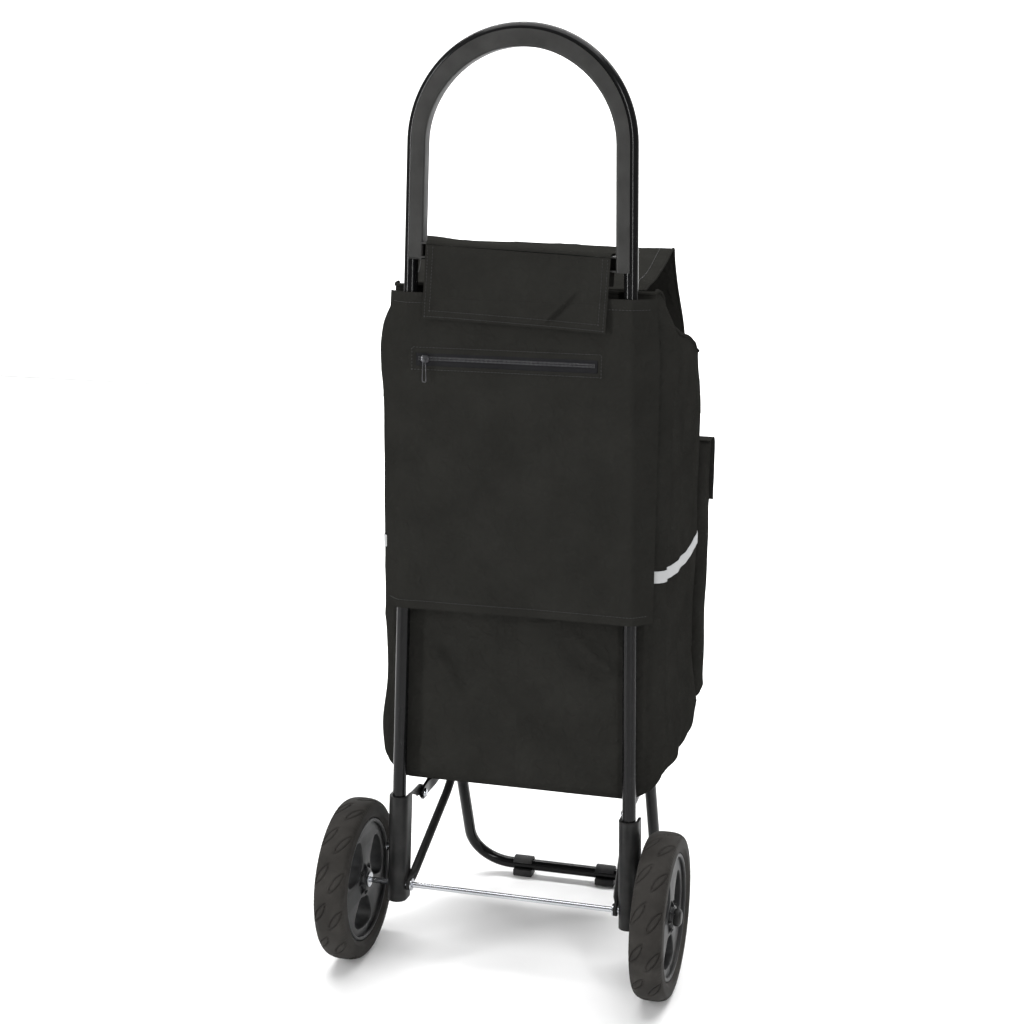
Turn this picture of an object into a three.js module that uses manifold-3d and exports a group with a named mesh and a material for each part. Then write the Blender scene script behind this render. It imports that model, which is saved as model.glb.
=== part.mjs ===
// Two-wheeled shopping trolley: an arched tube frame on a leaning plane, a fixed front foot,
// a fabric bag that hangs on the frame, and two wheels on one axle.
// Millimetres, +Z up. The handle side faces -Y and the bag is on the +Y side.
// The origin is on the floor, at the middle of the trolley's bounding box.
// Everything on the leaning plane is given as x across, y forward and h up from the axle line.
import * as THREE from "three";
import { mergeVertices } from "three/addons/utils/BufferGeometryUtils.js";
import Module from "manifold-3d";

const wasm = await Module();
wasm.setup();

// ---- Driving dimensions ----
// Clearances
const seat_gap = 0.3; // between pieces that rest on each other
const running_gap = 0.3; // round a turning or sliding piece
const hole_gap = 0.3; // round a pin in its hole

// Frame tube
const lean_angle = THREE.MathUtils.degToRad(2.73); // the frame tips forward from vertical
const frame_height = 882; // top of the arch above the axle, along the tube
const tube_diameter = 14;
const tube_wall = 1.4;
const arch_radius = 108; // to the tube's centre line
const leg_flare = THREE.MathUtils.degToRad(1.26); // each leg splays outward going down
const leg_end_height = 9; // the tube stops above the axle
const frame_offset = 7; // the frame sits off the middle of the wheels by its end play

// Grip insert and crossbar
const insert_depth = 18; // front to back
const insert_side_thickness = 6.6; // inward of the tube at the legs
const insert_top_thickness = 9.3; // inward of the tube at the top of the arch
const crossbar_height = 660.9;
const crossbar_size = 15;
const crossbar_wall = 1.6;
const crossbar_tilt = THREE.MathUtils.degToRad(2.5); // it sits a little askew

// Brackets
const bracket_wall = 3;
const bracket_top = 98;
const bracket_bottom = -17.5;
const bracket_reach = 12; // forward of the tube's centre line
const bracket_tube_gap = 0.4;
const ear_pivot_forward = 41;
const ear_pivot_height = 88;
const ear_radius = 9;
const ear_root_height = 40; // where the ear runs out on the flange, below its top
const ear_shoulder = 1;
const ear_overlap = 2;
const rivet_diameter = 5;
const rivet_head_diameter = 10;
const rivet_head_height = 2.4;
const blind_rivet_height = 40;

// Wheels and axle
const wheel_radius = 85;
const wheel_spacing = 330; // between the wheels' middle planes
const tyre_width = 34;
const tyre_shoulder = 9; // radius of the tread's rounded edge
const tyre_bead_height = 5;
const tyre_bead_chamfer = 3;
const rim_radius = 64.6;
const rim_width = 27;
const rim_wall = 4;
const web_thickness = 9;
const spoke_count = 3;
const spoke_half_angle = THREE.MathUtils.degToRad(25);
const hub_radius = 13;
const window_margin = 4; // left round the hub and inside the rim by the spokes' windows
const hub_width = 30;
const bush_wall = 2;
const axle_diameter = 6;
const washer_diameter = 16;
const washer_thickness = 1.5;
const cap_diameter = 18;
const cap_length = 7;
const cap_wall = 1.5;
const cap_shoulder = 4.2;
const cap_crown_radius = 5;
const clip_diameter = 13;
const clip_thickness = 1.5;

// Foot frame and struts
const foot_tube_diameter = 13;
const foot_tube_wall = 1.5;
const foot_reach = 232; // the cross tube, forward of the axle
const pad_floor_thickness = 6.2;
const arm_bend_forward = 165;
const arm_bend_height = 183;
const arm_bend_radius = 30;
const foot_corner_radius = 46;
const tab_thickness = 4;
const tab_length = 24;
const pad_width = 22;
const pad_wall = 3.2;
const pad_spacing = 98;
const pad_mouth = 8; // the slot that snaps over the cross tube
const pad_chamfer = 2;
const strut_diameter = 9.5;
const strut_joint_forward = 138;
const strut_knee_forward = 104;
const strut_knee_height = 150;
const strut_bend_radius = 40;
const strut_end_thickness = 4;
const strut_end_length = 18; // the flattened stretch at each end
const strut_end_step = 0.6;
const strut_low_eye_radius = 7;
const strut_high_eye_radius = 6.5;
const strut_rod_start = 12; // forward of the axle, where the round rod begins
const strut_rod_rise = 7.5;
const strut_rod_stop = 6; // short of the upper joint
const strut_short_trim = 20; // how far the flat cuts reach past each eye
const strut_long_trim = 40;
const strut_high_trim = 28;

// Bag
const bag_width = 290;
const bag_depth = 218;
const bag_bottom = 112;
const bag_back_top = 630;
const bag_side_top = 587;
const bag_front_top = 556;
const bag_droop_forward = 75; // where the mouth's side edge has dropped to bag_side_top
const bag_wall = 2.4;
const bag_gap = 0.4; // between the sleeve and the bag's back wall
const board_thickness = 3;
const lid_width = 248;
const lid_hinge_height = 632.5; // top of the lid, where it is sewn to the bag's back wall
const lid_front_height = 659;
const lid_skirt_bottom = 548;
const lid_thickness = 3;

// Sleeve, hanger and zip on the handle side
const sleeve_bottom = 304;
const sleeve_top = 624;
const sleeve_wall = 1.5;
const sleeve_tube_gap = 1;
const hanger_width = 186;
const hanger_cloth = 1.2;
const hanger_back_bottom = 637;
const flap_length = 75;
const flap_thickness = 1.5;
const flap_sleeve_gap = 0.5;
const zip_centre = -10.5;
const zip_height = 559;
const zip_length = 180;
const zip_band = 14;
const zip_thickness = 0.8;
const slider_length = 9;
const slider_width = 7;
const slider_thickness = 3.4;
const pull_length = 25;
const pull_width = 5;
const pull_thickness = 1.4;
const slider_end_margin = 4;

// Front pocket and side strips
const pocket_bottom = 159;
const pocket_top = 452;
const pocket_depth = 34;
const pocket_wall = 2.2;
const pocket_flap_drop = 70;
const pocket_flap_thickness = 2.4;
const strip_height = 13;
const strip_thickness = 0.9;
const strip_level = 354;
const strip_margin = 6;

// ---- Sizes that follow ----
const tube_radius = tube_diameter / 2;
const arch_height = frame_height - tube_radius - arch_radius;
const legSpread = (h) =>
  arch_radius / Math.cos(leg_flare) + (arch_height - h) * Math.tan(leg_flare);
const bracket_inner = tube_radius + bracket_tube_gap;
const bracket_outer = bracket_inner + bracket_wall;
const axle_spread = legSpread(0); // where each leg's line crosses the axle
const bag_back = tube_radius + sleeve_tube_gap + sleeve_wall + bag_gap;
const bag_front = bag_back + bag_depth;
const sleeve_half_depth = tube_radius + sleeve_tube_gap + sleeve_wall;
const pocket_front = bag_front + seat_gap + pocket_depth;
const flap_back = -(sleeve_half_depth + flap_sleeve_gap);

// A point of the leaning plane, on the trolley's own forward and up axes.
const leanForward = (y, h) => y * Math.cos(lean_angle) + h * Math.sin(lean_angle);
const leanUp = (y, h) =>
  wheel_radius - y * Math.sin(lean_angle) + h * Math.cos(lean_angle);

const foremost = leanForward(pocket_front + seat_gap + pocket_flap_thickness, pocket_top);
const origin_forward = (foremost - wheel_radius) / 2;

// ---- Materials ----
const finish = (color, roughness, metalness) =>
  new THREE.MeshStandardMaterial({ color, roughness, metalness });
const gloss_black = finish(0x0b0b0c, 0.22, 0.4);
const satin_black = finish(0x26272a, 0.5, 0.3);
const insert_grey = finish(0x3a3b3e, 0.55, 0);
const rubber = finish(0x2e2c2c, 0.8, 0);
const rim_plastic = finish(0x17181a, 0.45, 0);
const chrome = finish(0xd9dcdf, 0.15, 1);
const fabric = finish(0x1d1e20, 0.85, 0);
const board_grey = finish(0x33353a, 0.8, 0);
const zip_black = finish(0x101114, 0.5, 0);
const strip_silver = finish(0xc9ccce, 0.45, 0.1);

// ---- Geometry helpers ----
function toSolid(geometry) {
  const bare = geometry.index ? geometry.toNonIndexed() : geometry.clone();
  bare.deleteAttribute("normal");
  bare.deleteAttribute("uv");
  const merged = mergeVertices(bare, 1e-4);
  return new wasm.Manifold(
    new wasm.Mesh({
      numProp: 3,
      vertProperties: merged.attributes.position.array,
      triVerts: new Uint32Array(merged.index.array),
    }),
  );
}

function toGeometry(solid) {
  const mesh = solid.getMesh();
  const geometry = new THREE.BufferGeometry();
  geometry.setAttribute("position", new THREE.BufferAttribute(mesh.vertProperties, 3));
  geometry.setIndex(new THREE.BufferAttribute(mesh.triVerts, 1));
  return geometry;
}

const join = (first, ...others) =>
  toGeometry(others.reduce((sum, g) => sum.add(toSolid(g)), toSolid(first)));
const cut = (body, ...tools) =>
  toGeometry(tools.reduce((rest, g) => rest.subtract(toSolid(g)), toSolid(body)));

function polygon(points) {
  return new THREE.Shape(points.map(([a, b]) => new THREE.Vector2(a, b)));
}

function ring(outer, inner) {
  const shape = new THREE.Shape().absarc(0, 0, outer, 0, 2 * Math.PI);
  if (inner) shape.holes.push(new THREE.Path().absarc(0, 0, inner, 0, 2 * Math.PI, true));
  return shape;
}

const prism = (shape, depth, curveSegments = 8) =>
  new THREE.ExtrudeGeometry(shape, { depth, curveSegments, bevelEnabled: false });

// A profile drawn as (forward, up), run across from x0 to x1.
function acrossX(shape, x0, x1, curveSegments = 8) {
  const turn = new THREE.Matrix4().set(0, 0, 1, x0, 1, 0, 0, 0, 0, 1, 0, 0, 0, 0, 0, 1);
  return prism(shape, x1 - x0, curveSegments).applyMatrix4(turn);
}

// A front view drawn as (across, up), run forward from y0 to y1.
function forwardY(shape, y0, y1, curveSegments = 8) {
  return prism(shape, y1 - y0, curveSegments)
    .rotateX(Math.PI / 2)
    .translate(0, y1, 0);
}

// A closed box between two corners.
function block(x0, x1, y0, y1, z0, z1) {
  return new THREE.BoxGeometry(x1 - x0, y1 - y0, z1 - z0).translate(
    (x0 + x1) / 2,
    (y0 + y1) / 2,
    (z0 + z1) / 2,
  );
}

// A rod along X, centred on (y, z).
function rodX(radius, x0, x1, y = 0, z = 0, sides = 16) {
  return new THREE.CylinderGeometry(radius, radius, x1 - x0, sides)
    .rotateZ(Math.PI / 2)
    .translate((x0 + x1) / 2, y, z);
}

// A turned piece whose profile is (along X, radius); it closes on itself or on the axis.
function turnedX(profile, segments) {
  const points = profile.map(([along, radius]) => new THREE.Vector2(radius, along));
  return new THREE.LatheGeometry([...points, points[0].clone()], segments).rotateZ(-Math.PI / 2);
}

// A path that is stepped at the given nodes, so that straight runs take one step.
class SteppedPath extends THREE.Curve {
  constructor(nodes) {
    super();
    this.nodes = nodes;
  }
  getUtoTmapping(u) {
    return u;
  }
  getPoint(t) {
    const last = this.nodes.length - 1;
    const index = Math.min(Math.floor(t * last + 1e-9), last - 1);
    const share = t * last - index;
    return this.nodes[index].point.clone().lerp(this.nodes[index + 1].point, share);
  }
  getTangent(t) {
    const last = this.nodes.length - 1;
    return this.nodes[Math.round(t * last)].tangent.clone();
  }
}

// Straight runs between corners, with an arc of the given radius at each inner corner.
function bentNodes(corners, radii, arcSteps) {
  const nodes = [];
  const direction = (i) => corners[i + 1].clone().sub(corners[i]).normalize();
  nodes.push({ point: corners[0].clone(), tangent: direction(0) });
  for (let i = 1; i < corners.length - 1; i += 1) {
    const before = direction(i - 1);
    const after = direction(i);
    const turn = before.angleTo(after);
    const setback = radii[i - 1] * Math.tan(turn / 2);
    const inward = after.clone().addScaledVector(before, -after.dot(before)).normalize();
    const start = corners[i].clone().addScaledVector(before, -setback);
    for (let step = 0; step <= arcSteps; step += 1) {
      const angle = (turn * step) / arcSteps;
      const point = start
        .clone()
        .addScaledVector(before, radii[i - 1] * Math.sin(angle))
        .addScaledVector(inward, radii[i - 1] * (1 - Math.cos(angle)));
      const tangent = before
        .clone()
        .multiplyScalar(Math.cos(angle))
        .addScaledVector(inward, Math.sin(angle));
      nodes.push({ point, tangent });
    }
  }
  const end = corners.length - 1;
  nodes.push({ point: corners[end].clone(), tangent: direction(end - 1) });
  return nodes;
}

function swept(shape, nodes, curveSegments) {
  return new THREE.ExtrudeGeometry(shape, {
    steps: nodes.length - 1,
    extrudePath: new SteppedPath(nodes),
    curveSegments,
    bevelEnabled: false,
  });
}

// ---- Scene graph ----
const trolley = new THREE.Group();
trolley.position.set(0, -origin_forward, 0);
const frame = new THREE.Group(); // everything on the leaning plane
frame.position.set(frame_offset, 0, wheel_radius);
frame.rotation.x = -lean_angle;
const foot = new THREE.Group(); // upright pieces that line up with the frame across
foot.position.set(frame_offset, 0, 0);
trolley.add(frame, foot);

function place(parent, name, geometry, material) {
  const mesh = new THREE.Mesh(geometry, material);
  mesh.name = name;
  parent.add(mesh);
  return mesh;
}

const sides = [
  { name: "left", sign: -1 },
  { name: "right", sign: 1 },
];

// A group whose own up axis runs along one leg, from the axle line.
const legGroups = sides.map(({ sign }) => {
  const leg = new THREE.Group();
  leg.position.set(sign * axle_spread, 0, 0);
  leg.rotation.y = -sign * leg_flare;
  frame.add(leg);
  return leg;
});

// ---- Frame tube ----
function archNodes(arcSteps) {
  const nodes = [];
  const legDirection = (sign, up) =>
    new THREE.Vector3(-sign * up * Math.sin(leg_flare), 0, up * Math.cos(leg_flare));
  nodes.push({
    point: new THREE.Vector3(-legSpread(leg_end_height), 0, leg_end_height),
    tangent: legDirection(-1, 1),
  });
  for (let step = 0; step <= arcSteps; step += 1) {
    const sweep = Math.PI - 2 * leg_flare;
    const angle = Math.PI - leg_flare - (sweep * step) / arcSteps;
    nodes.push({
      point: new THREE.Vector3(
        arch_radius * Math.cos(angle),
        0,
        arch_height + arch_radius * Math.sin(angle),
      ),
      tangent: new THREE.Vector3(Math.sin(angle), 0, -Math.cos(angle)),
    });
  }
  nodes.push({
    point: new THREE.Vector3(legSpread(leg_end_height), 0, leg_end_height),
    tangent: legDirection(1, -1),
  });
  return nodes;
}

const arch_steps = 28;
place(
  frame,
  "frame_tube",
  swept(ring(tube_radius, tube_radius - tube_wall), archNodes(arch_steps), 8),
  gloss_black,
);

// ---- Grip insert: a lining inside the arch that ends in the crossbar ----
function gripInsert() {
  const foot_level = crossbar_height - crossbar_size / 2;
  const footOf = (sign) => foot_level - sign * legSpread(foot_level) * Math.tan(crossbar_tilt);
  const inner_x = arch_radius - tube_radius - insert_side_thickness;
  const inner_h = arch_radius - tube_radius - insert_top_thickness;
  const innerSpread = (h) => inner_x + (arch_height - h) * Math.tan(leg_flare);
  const outline = [];
  outline.push([-legSpread(footOf(-1)), footOf(-1)]);
  for (let step = 0; step <= arch_steps; step += 1) {
    const angle = Math.PI - (Math.PI * step) / arch_steps;
    outline.push([arch_radius * Math.cos(angle), arch_height + arch_radius * Math.sin(angle)]);
  }
  outline.push([legSpread(footOf(1)), footOf(1)]);
  outline.push([innerSpread(footOf(1)), footOf(1)]);
  for (let step = 0; step <= arch_steps; step += 1) {
    const angle = (Math.PI * step) / arch_steps;
    outline.push([inner_x * Math.cos(angle), arch_height + inner_h * Math.sin(angle)]);
  }
  outline.push([-innerSpread(footOf(-1)), footOf(-1)]);
  const lining = forwardY(polygon(outline), -insert_depth / 2, insert_depth / 2);
  const groove = swept(ring(tube_radius + seat_gap), archNodes(arch_steps), 8);

  // The crossbar is a channel that is open toward the handle side.
  const bar_overlap = 2;
  const reach = innerSpread(crossbar_height) + bar_overlap;
  const half = crossbar_size / 2;
  const bar = cut(
    block(-reach, reach, -insert_depth / 2, insert_depth / 2, -half, half),
    block(
      -reach - 1,
      reach + 1,
      -insert_depth / 2 - 1,
      insert_depth / 2 - crossbar_wall,
      -half + crossbar_wall,
      half - crossbar_wall,
    ),
  );
  bar.rotateY(crossbar_tilt).translate(0, 0, crossbar_height);
  return join(cut(lining, groove), bar);
}
place(frame, "grip_insert", gripInsert(), insert_grey);

// ---- Brackets at the foot of each leg ----
function bracket(sign) {
  const section = new THREE.Shape();
  section.moveTo(bracket_outer, bracket_reach);
  section.lineTo(bracket_outer, 0);
  section.absarc(0, 0, bracket_outer, 0, -Math.PI, true);
  section.lineTo(-bracket_outer, bracket_reach);
  section.lineTo(-bracket_inner, bracket_reach);
  section.lineTo(-bracket_inner, 0);
  section.absarc(0, 0, bracket_inner, Math.PI, 2 * Math.PI, false);
  section.lineTo(bracket_inner, bracket_reach);
  const channel = prism(section, bracket_top - bracket_bottom, 8).translate(0, 0, bracket_bottom);

  // The ear carries the foot frame, on the flange that faces the other leg.
  const ear = new THREE.Shape();
  const root = bracket_reach - ear_overlap;
  ear.moveTo(root, bracket_top - ear_root_height);
  ear.absarc(ear_pivot_forward, ear_pivot_height, ear_radius, -Math.PI / 4, Math.PI / 2, false);
  ear.lineTo(root, bracket_top - ear_shoulder);
  const ear_x = sign > 0 ? -bracket_outer : bracket_inner;
  const plate = acrossX(ear, ear_x, ear_x + bracket_wall);
  const pin_hole = rivet_diameter / 2 + hole_gap;
  return cut(
    join(channel, plate),
    rodX(axle_diameter / 2 + hole_gap, -bracket_outer - 1, bracket_outer + 1),
    rodX(pin_hole, ear_x - 1, ear_x + bracket_wall + 1, ear_pivot_forward, ear_pivot_height),
    rodX(
      pin_hole,
      sign > 0 ? tube_radius : -bracket_outer - 1,
      sign > 0 ? bracket_outer + 1 : -tube_radius,
      0,
      blind_rivet_height,
    ),
  );
}

// A headed pin along X from its head's seat at x0 toward the other seat at x1.
function rivet(x0, x1, second_head) {
  const shank = rivet_diameter / 2;
  const head = rivet_head_diameter / 2;
  const shoulder_height = rivet_head_height * 0.55;
  const shoulder_radius = head * 0.84;
  const crown_radius = head * 0.4;
  const dome = (seat, out) => [
    [seat, head],
    [seat + out * shoulder_height, shoulder_radius],
    [seat + out * rivet_head_height, crown_radius],
  ];
  const out = Math.sign(x0 - x1);
  const start = dome(x0, out);
  const profile = [[x0, shank], ...start, [x0 + out * rivet_head_height, 0]];
  const end = dome(x1, -out).reverse();
  const tail = second_head
    ? [[x1 - out * rivet_head_height, 0], ...end, [x1, shank]]
    : [[x1, 0], [x1, shank]];
  const whole = [...profile, ...tail];
  return turnedX(out < 0 ? whole.reverse() : whole, 12);
}

sides.forEach(({ name, sign }, i) => {
  place(legGroups[i], `bracket_${name}`, bracket(sign), satin_black);
  const outer_face = sign * (bracket_outer + seat_gap);
  const tip = sign * bracket_inner;
  const blind = rivet(outer_face, tip, false).translate(0, 0, blind_rivet_height);
  place(legGroups[i], `bracket_rivet_${name}`, blind, chrome);
});

// ---- Foot frame: a bent tube from ear to ear, standing on two clip-on pads ----
const ear_forward = leanForward(ear_pivot_forward, ear_pivot_height);
const ear_up = leanUp(ear_pivot_forward, ear_pivot_height);
const ear_face = legSpread(ear_pivot_height) - bracket_outer / Math.cos(leg_flare);
const ear_slack = (ear_radius + 2) * Math.tan(leg_flare); // the ear leans across with the leg
const arm_spread = ear_face - ear_slack - seat_gap - tab_thickness / 2;
const foot_tube_radius = foot_tube_diameter / 2;
const foot_tube_height = pad_floor_thickness + seat_gap + foot_tube_radius;
const arm_direction = new THREE.Vector2(
  arm_bend_forward - ear_forward,
  arm_bend_height - ear_up,
).normalize();

function footTube() {
  const start = new THREE.Vector2(ear_forward, ear_up).addScaledVector(arm_direction, tab_length);
  const corner = (sign, y, z) => new THREE.Vector3(sign * arm_spread, y, z);
  const corners = [
    corner(-1, start.x, start.y),
    corner(-1, arm_bend_forward, arm_bend_height),
    corner(-1, foot_reach, foot_tube_height),
    corner(1, foot_reach, foot_tube_height),
    corner(1, arm_bend_forward, arm_bend_height),
    corner(1, start.x, start.y),
  ];
  const radii = [arm_bend_radius, foot_corner_radius, foot_corner_radius, arm_bend_radius];
  const tube = swept(
    ring(foot_tube_radius, foot_tube_radius - foot_tube_wall),
    bentNodes(corners, radii, 6),
    6,
  );
  const angle = Math.atan2(arm_direction.y, arm_direction.x);
  const tab_overlap = 10;
  const tab_end_radius = ear_radius - 2;
  const tab_root_half = foot_tube_radius - 1;
  const bore_half = foot_tube_radius + 2.5;
  const tabs = sides.map(({ sign }) => {
    const shape = new THREE.Shape();
    shape.moveTo(tab_length + tab_overlap, -tab_root_half);
    shape.lineTo(tab_length + tab_overlap, tab_root_half);
    shape.lineTo(0, tab_end_radius);
    shape.absarc(0, 0, tab_end_radius, Math.PI / 2, (3 * Math.PI) / 2, false);
    const half = tab_thickness / 2;
    return acrossX(shape, -half, half, 6)
      .rotateX(angle)
      .translate(sign * arm_spread, ear_forward, ear_up);
  });
  const bores = sides.flatMap(({ sign }) => {
    const hole = rivet_diameter / 2 + hole_gap;
    const inner = sign * arm_spread - bore_half;
    const outer = sign * arm_spread + bore_half;
    return [
      rodX(hole, inner, outer, ear_forward, ear_up, 12),
      rodX(hole, inner, outer, strut_joint_forward, strutJointUp(), 12),
    ];
  });
  return cut(join(tube, ...tabs), ...bores);
}

function strutJointUp() {
  const along = (strut_joint_forward - ear_forward) / arm_direction.x;
  return ear_up + along * arm_direction.y;
}
place(foot, "foot_tube", footTube(), gloss_black);

// ---- Struts from the axle up to the foot frame's arms ----
const strut_low_spread =
  axle_spread - bracket_outer / Math.cos(leg_flare) - seat_gap * 2 - strut_end_thickness / 2;
const strut_high_spread = arm_spread - foot_tube_radius - seat_gap - strut_end_thickness / 2;

function strut(sign) {
  const joint_up = strutJointUp();
  const narrowing = (strut_low_spread - strut_high_spread) / strut_joint_forward;
  const acrossAt = (y) => strut_low_spread - narrowing * y;
  const low = new THREE.Vector3(
    sign * acrossAt(strut_rod_start),
    strut_rod_start,
    wheel_radius + strut_rod_rise,
  );
  const knee = new THREE.Vector3(
    sign * acrossAt(strut_knee_forward),
    strut_knee_forward,
    strut_knee_height,
  );
  const high = new THREE.Vector3(
    sign * strut_high_spread,
    strut_joint_forward - strut_rod_stop,
    joint_up - strut_rod_stop,
  );
  const rod = swept(ring(strut_diameter / 2), bentNodes([low, knee, high], [strut_bend_radius], 5), 6);
  const eye = (across, y, z, toward_y, toward_z, radius) => {
    const angle = Math.atan2(toward_z - z, toward_y - y);
    const shape = new THREE.Shape();
    const root_half = strut_diameter / 2 - strut_end_step;
    shape.moveTo(strut_end_length, -root_half);
    shape.lineTo(strut_end_length, root_half);
    shape.lineTo(0, radius);
    shape.absarc(0, 0, radius, Math.PI / 2, (3 * Math.PI) / 2, false);
    const half = strut_end_thickness / 2;
    return acrossX(shape, -half, half, 6).rotateX(angle).translate(sign * across, y, z);
  };
  const low_eye = eye(strut_low_spread, 0, wheel_radius, low.y, low.z, strut_low_eye_radius);
  const high_eye = eye(
    strut_high_spread,
    strut_joint_forward,
    joint_up,
    knee.y,
    knee.z,
    strut_high_eye_radius,
  );
  const hole = (radius, across, y, z) => {
    const inner = sign * across - strut_diameter;
    return rodX(radius + hole_gap, inner, inner + 2 * strut_diameter, y, z, 12);
  };
  // The rod's round end is kept off the arm and the bracket by flat cuts level with the eyes.
  const low_face = strut_low_spread + strut_end_thickness / 2;
  const high_face = strut_high_spread + strut_end_thickness / 2;
  const trim = (face, y, z, below, above) => {
    const near = sign * face;
    const far = sign * (face + 2 * strut_diameter);
    const left = Math.min(near, far);
    return block(left, left + 2 * strut_diameter, y - below, y + above, z - below, z + above);
  };
  return cut(
    join(rod, low_eye, high_eye),
    hole(axle_diameter / 2, strut_low_spread, 0, wheel_radius),
    hole(rivet_diameter / 2, strut_high_spread, strut_joint_forward, joint_up),
    trim(low_face, 0, wheel_radius, strut_short_trim, strut_long_trim),
    trim(high_face, strut_joint_forward, joint_up, strut_high_trim, strut_short_trim),
  );
}

sides.forEach(({ name, sign }) => {
  place(foot, `strut_${name}`, strut(sign), satin_black);
  const ear_outer = ear_face + bracket_wall + ear_slack + seat_gap;
  const ear_inner = arm_spread - tab_thickness / 2 - seat_gap;
  const pivot = rivet(sign * ear_inner, sign * ear_outer, true);
  place(foot, `foot_rivet_${name}`, pivot.translate(0, ear_forward, ear_up), chrome);
  const arm_outer = arm_spread + foot_tube_radius + seat_gap;
  const strut_inner = strut_high_spread - strut_end_thickness / 2 - seat_gap;
  const upper = rivet(sign * strut_inner, sign * arm_outer, true);
  place(
    foot,
    `strut_rivet_${name}`,
    upper.translate(0, strut_joint_forward, strutJointUp()),
    chrome,
  );
});

// ---- Clip-on foot pads ----
function footPad() {
  const bore = foot_tube_radius + seat_gap;
  const outer = bore + pad_wall;
  const centre = foot_tube_height;
  const shape = new THREE.Shape();
  const sole_half = outer - pad_chamfer;
  shape.moveTo(-sole_half, -centre);
  shape.lineTo(sole_half, -centre);
  shape.lineTo(outer, -centre + pad_chamfer);
  shape.absarc(0, 0, outer, 0, Math.PI, false);
  shape.lineTo(-outer, -centre + pad_chamfer);
  const clip = acrossX(shape, -pad_width / 2, pad_width / 2);
  const half_mouth = pad_mouth / 2;
  return cut(
    clip,
    rodX(bore, -pad_width, pad_width),
    block(-pad_width, pad_width, -outer - 1, 0, -half_mouth, half_mouth),
  );
}
sides.forEach(({ name, sign }) => {
  const pad = footPad().translate((sign * pad_spacing) / 2, foot_reach, foot_tube_height);
  place(foot, `foot_pad_${name}`, pad, rubber);
});

// ---- Axle, wheels and what holds them on ----
const hub_half = hub_width / 2;
const washer_seat = seat_gap + washer_thickness;
const cap_start = hub_half + seat_gap;
const axle_half = wheel_spacing / 2 + cap_start + cap_length - cap_wall - seat_gap;
const axleLine = new THREE.Group();
axleLine.position.set(0, 0, wheel_radius);
trolley.add(axleLine);
place(axleLine, "axle", rodX(axle_diameter / 2, -axle_half, axle_half), chrome);

function tyre() {
  const half = tyre_width / 2;
  const bead = rim_radius + seat_gap;
  const wall_top = wheel_radius - tyre_shoulder - 2;
  const profile = [
    [-half + tyre_bead_chamfer, bead],
    [-half, bead + tyre_bead_height],
    [-half, wall_top],
  ];
  const crown_steps = 6;
  for (let step = 0; step <= crown_steps; step += 1) {
    const angle = Math.PI - (Math.PI * step) / crown_steps;
    profile.push([
      (half - 0.5) * Math.cos(angle),
      wheel_radius - tyre_shoulder + tyre_shoulder * Math.sin(angle),
    ]);
  }
  profile.push([half, wall_top]);
  profile.push([half, bead + tyre_bead_height]);
  profile.push([half - tyre_bead_chamfer, bead]);
  return turnedX(profile, 48);
}

function rim() {
  const half = rim_width / 2;
  const inner = rim_radius - rim_wall;
  const barrel = turnedX(
    [
      [-half, inner],
      [-half, rim_radius],
      [half, rim_radius],
      [half, inner],
    ],
    48,
  );
  const web = turnedX(
    [
      [-web_thickness / 2, 0],
      [-web_thickness / 2, rim_radius - 1],
      [web_thickness / 2, rim_radius - 1],
      [web_thickness / 2, 0],
    ],
    48,
  );
  const hub = rodX(hub_radius, -hub_half, hub_half, 0, 0, 24);
  const bore = axle_diameter / 2 + running_gap + bush_wall + seat_gap;
  const windows = [];
  const window_inner = hub_radius + window_margin;
  const window_outer = inner - window_margin;
  for (let i = 0; i < spoke_count; i += 1) {
    const middle = Math.PI / 2 + ((i + 0.5) * 2 * Math.PI) / spoke_count;
    const half_angle = Math.PI / spoke_count - spoke_half_angle;
    const window = new THREE.Shape();
    window.absarc(0, 0, window_outer, middle - half_angle, middle + half_angle, false);
    window.absarc(0, 0, window_inner, middle + half_angle, middle - half_angle, true);
    windows.push(acrossX(window, -web_thickness, web_thickness, 10));
  }
  const bored = cut(join(barrel, web, hub), ...windows);
  return cut(bored, rodX(bore, -hub_half - 1, hub_half + 1, 0, 0, 16));
}

function bush() {
  const inner = axle_diameter / 2 + running_gap;
  return turnedX(
    [
      [-hub_half, inner],
      [-hub_half, inner + bush_wall],
      [hub_half, inner + bush_wall],
      [hub_half, inner],
    ],
    16,
  );
}

function washer(outer, thickness) {
  const inner = axle_diameter / 2 + hole_gap;
  return turnedX(
    [
      [0, inner],
      [0, outer / 2],
      [thickness, outer / 2],
      [thickness, inner],
    ],
    20,
  );
}

// A pressed cap that is open toward the wheel.
function axleCap() {
  const outer = cap_diameter / 2;
  const inner = axle_diameter / 2 + hole_gap;
  return turnedX(
    [
      [0, inner],
      [0, outer],
      [cap_shoulder, outer],
      [cap_length, cap_crown_radius],
      [cap_length, 0],
      [cap_length - cap_wall, 0],
      [cap_length - cap_wall, inner],
    ],
    20,
  );
}

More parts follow.
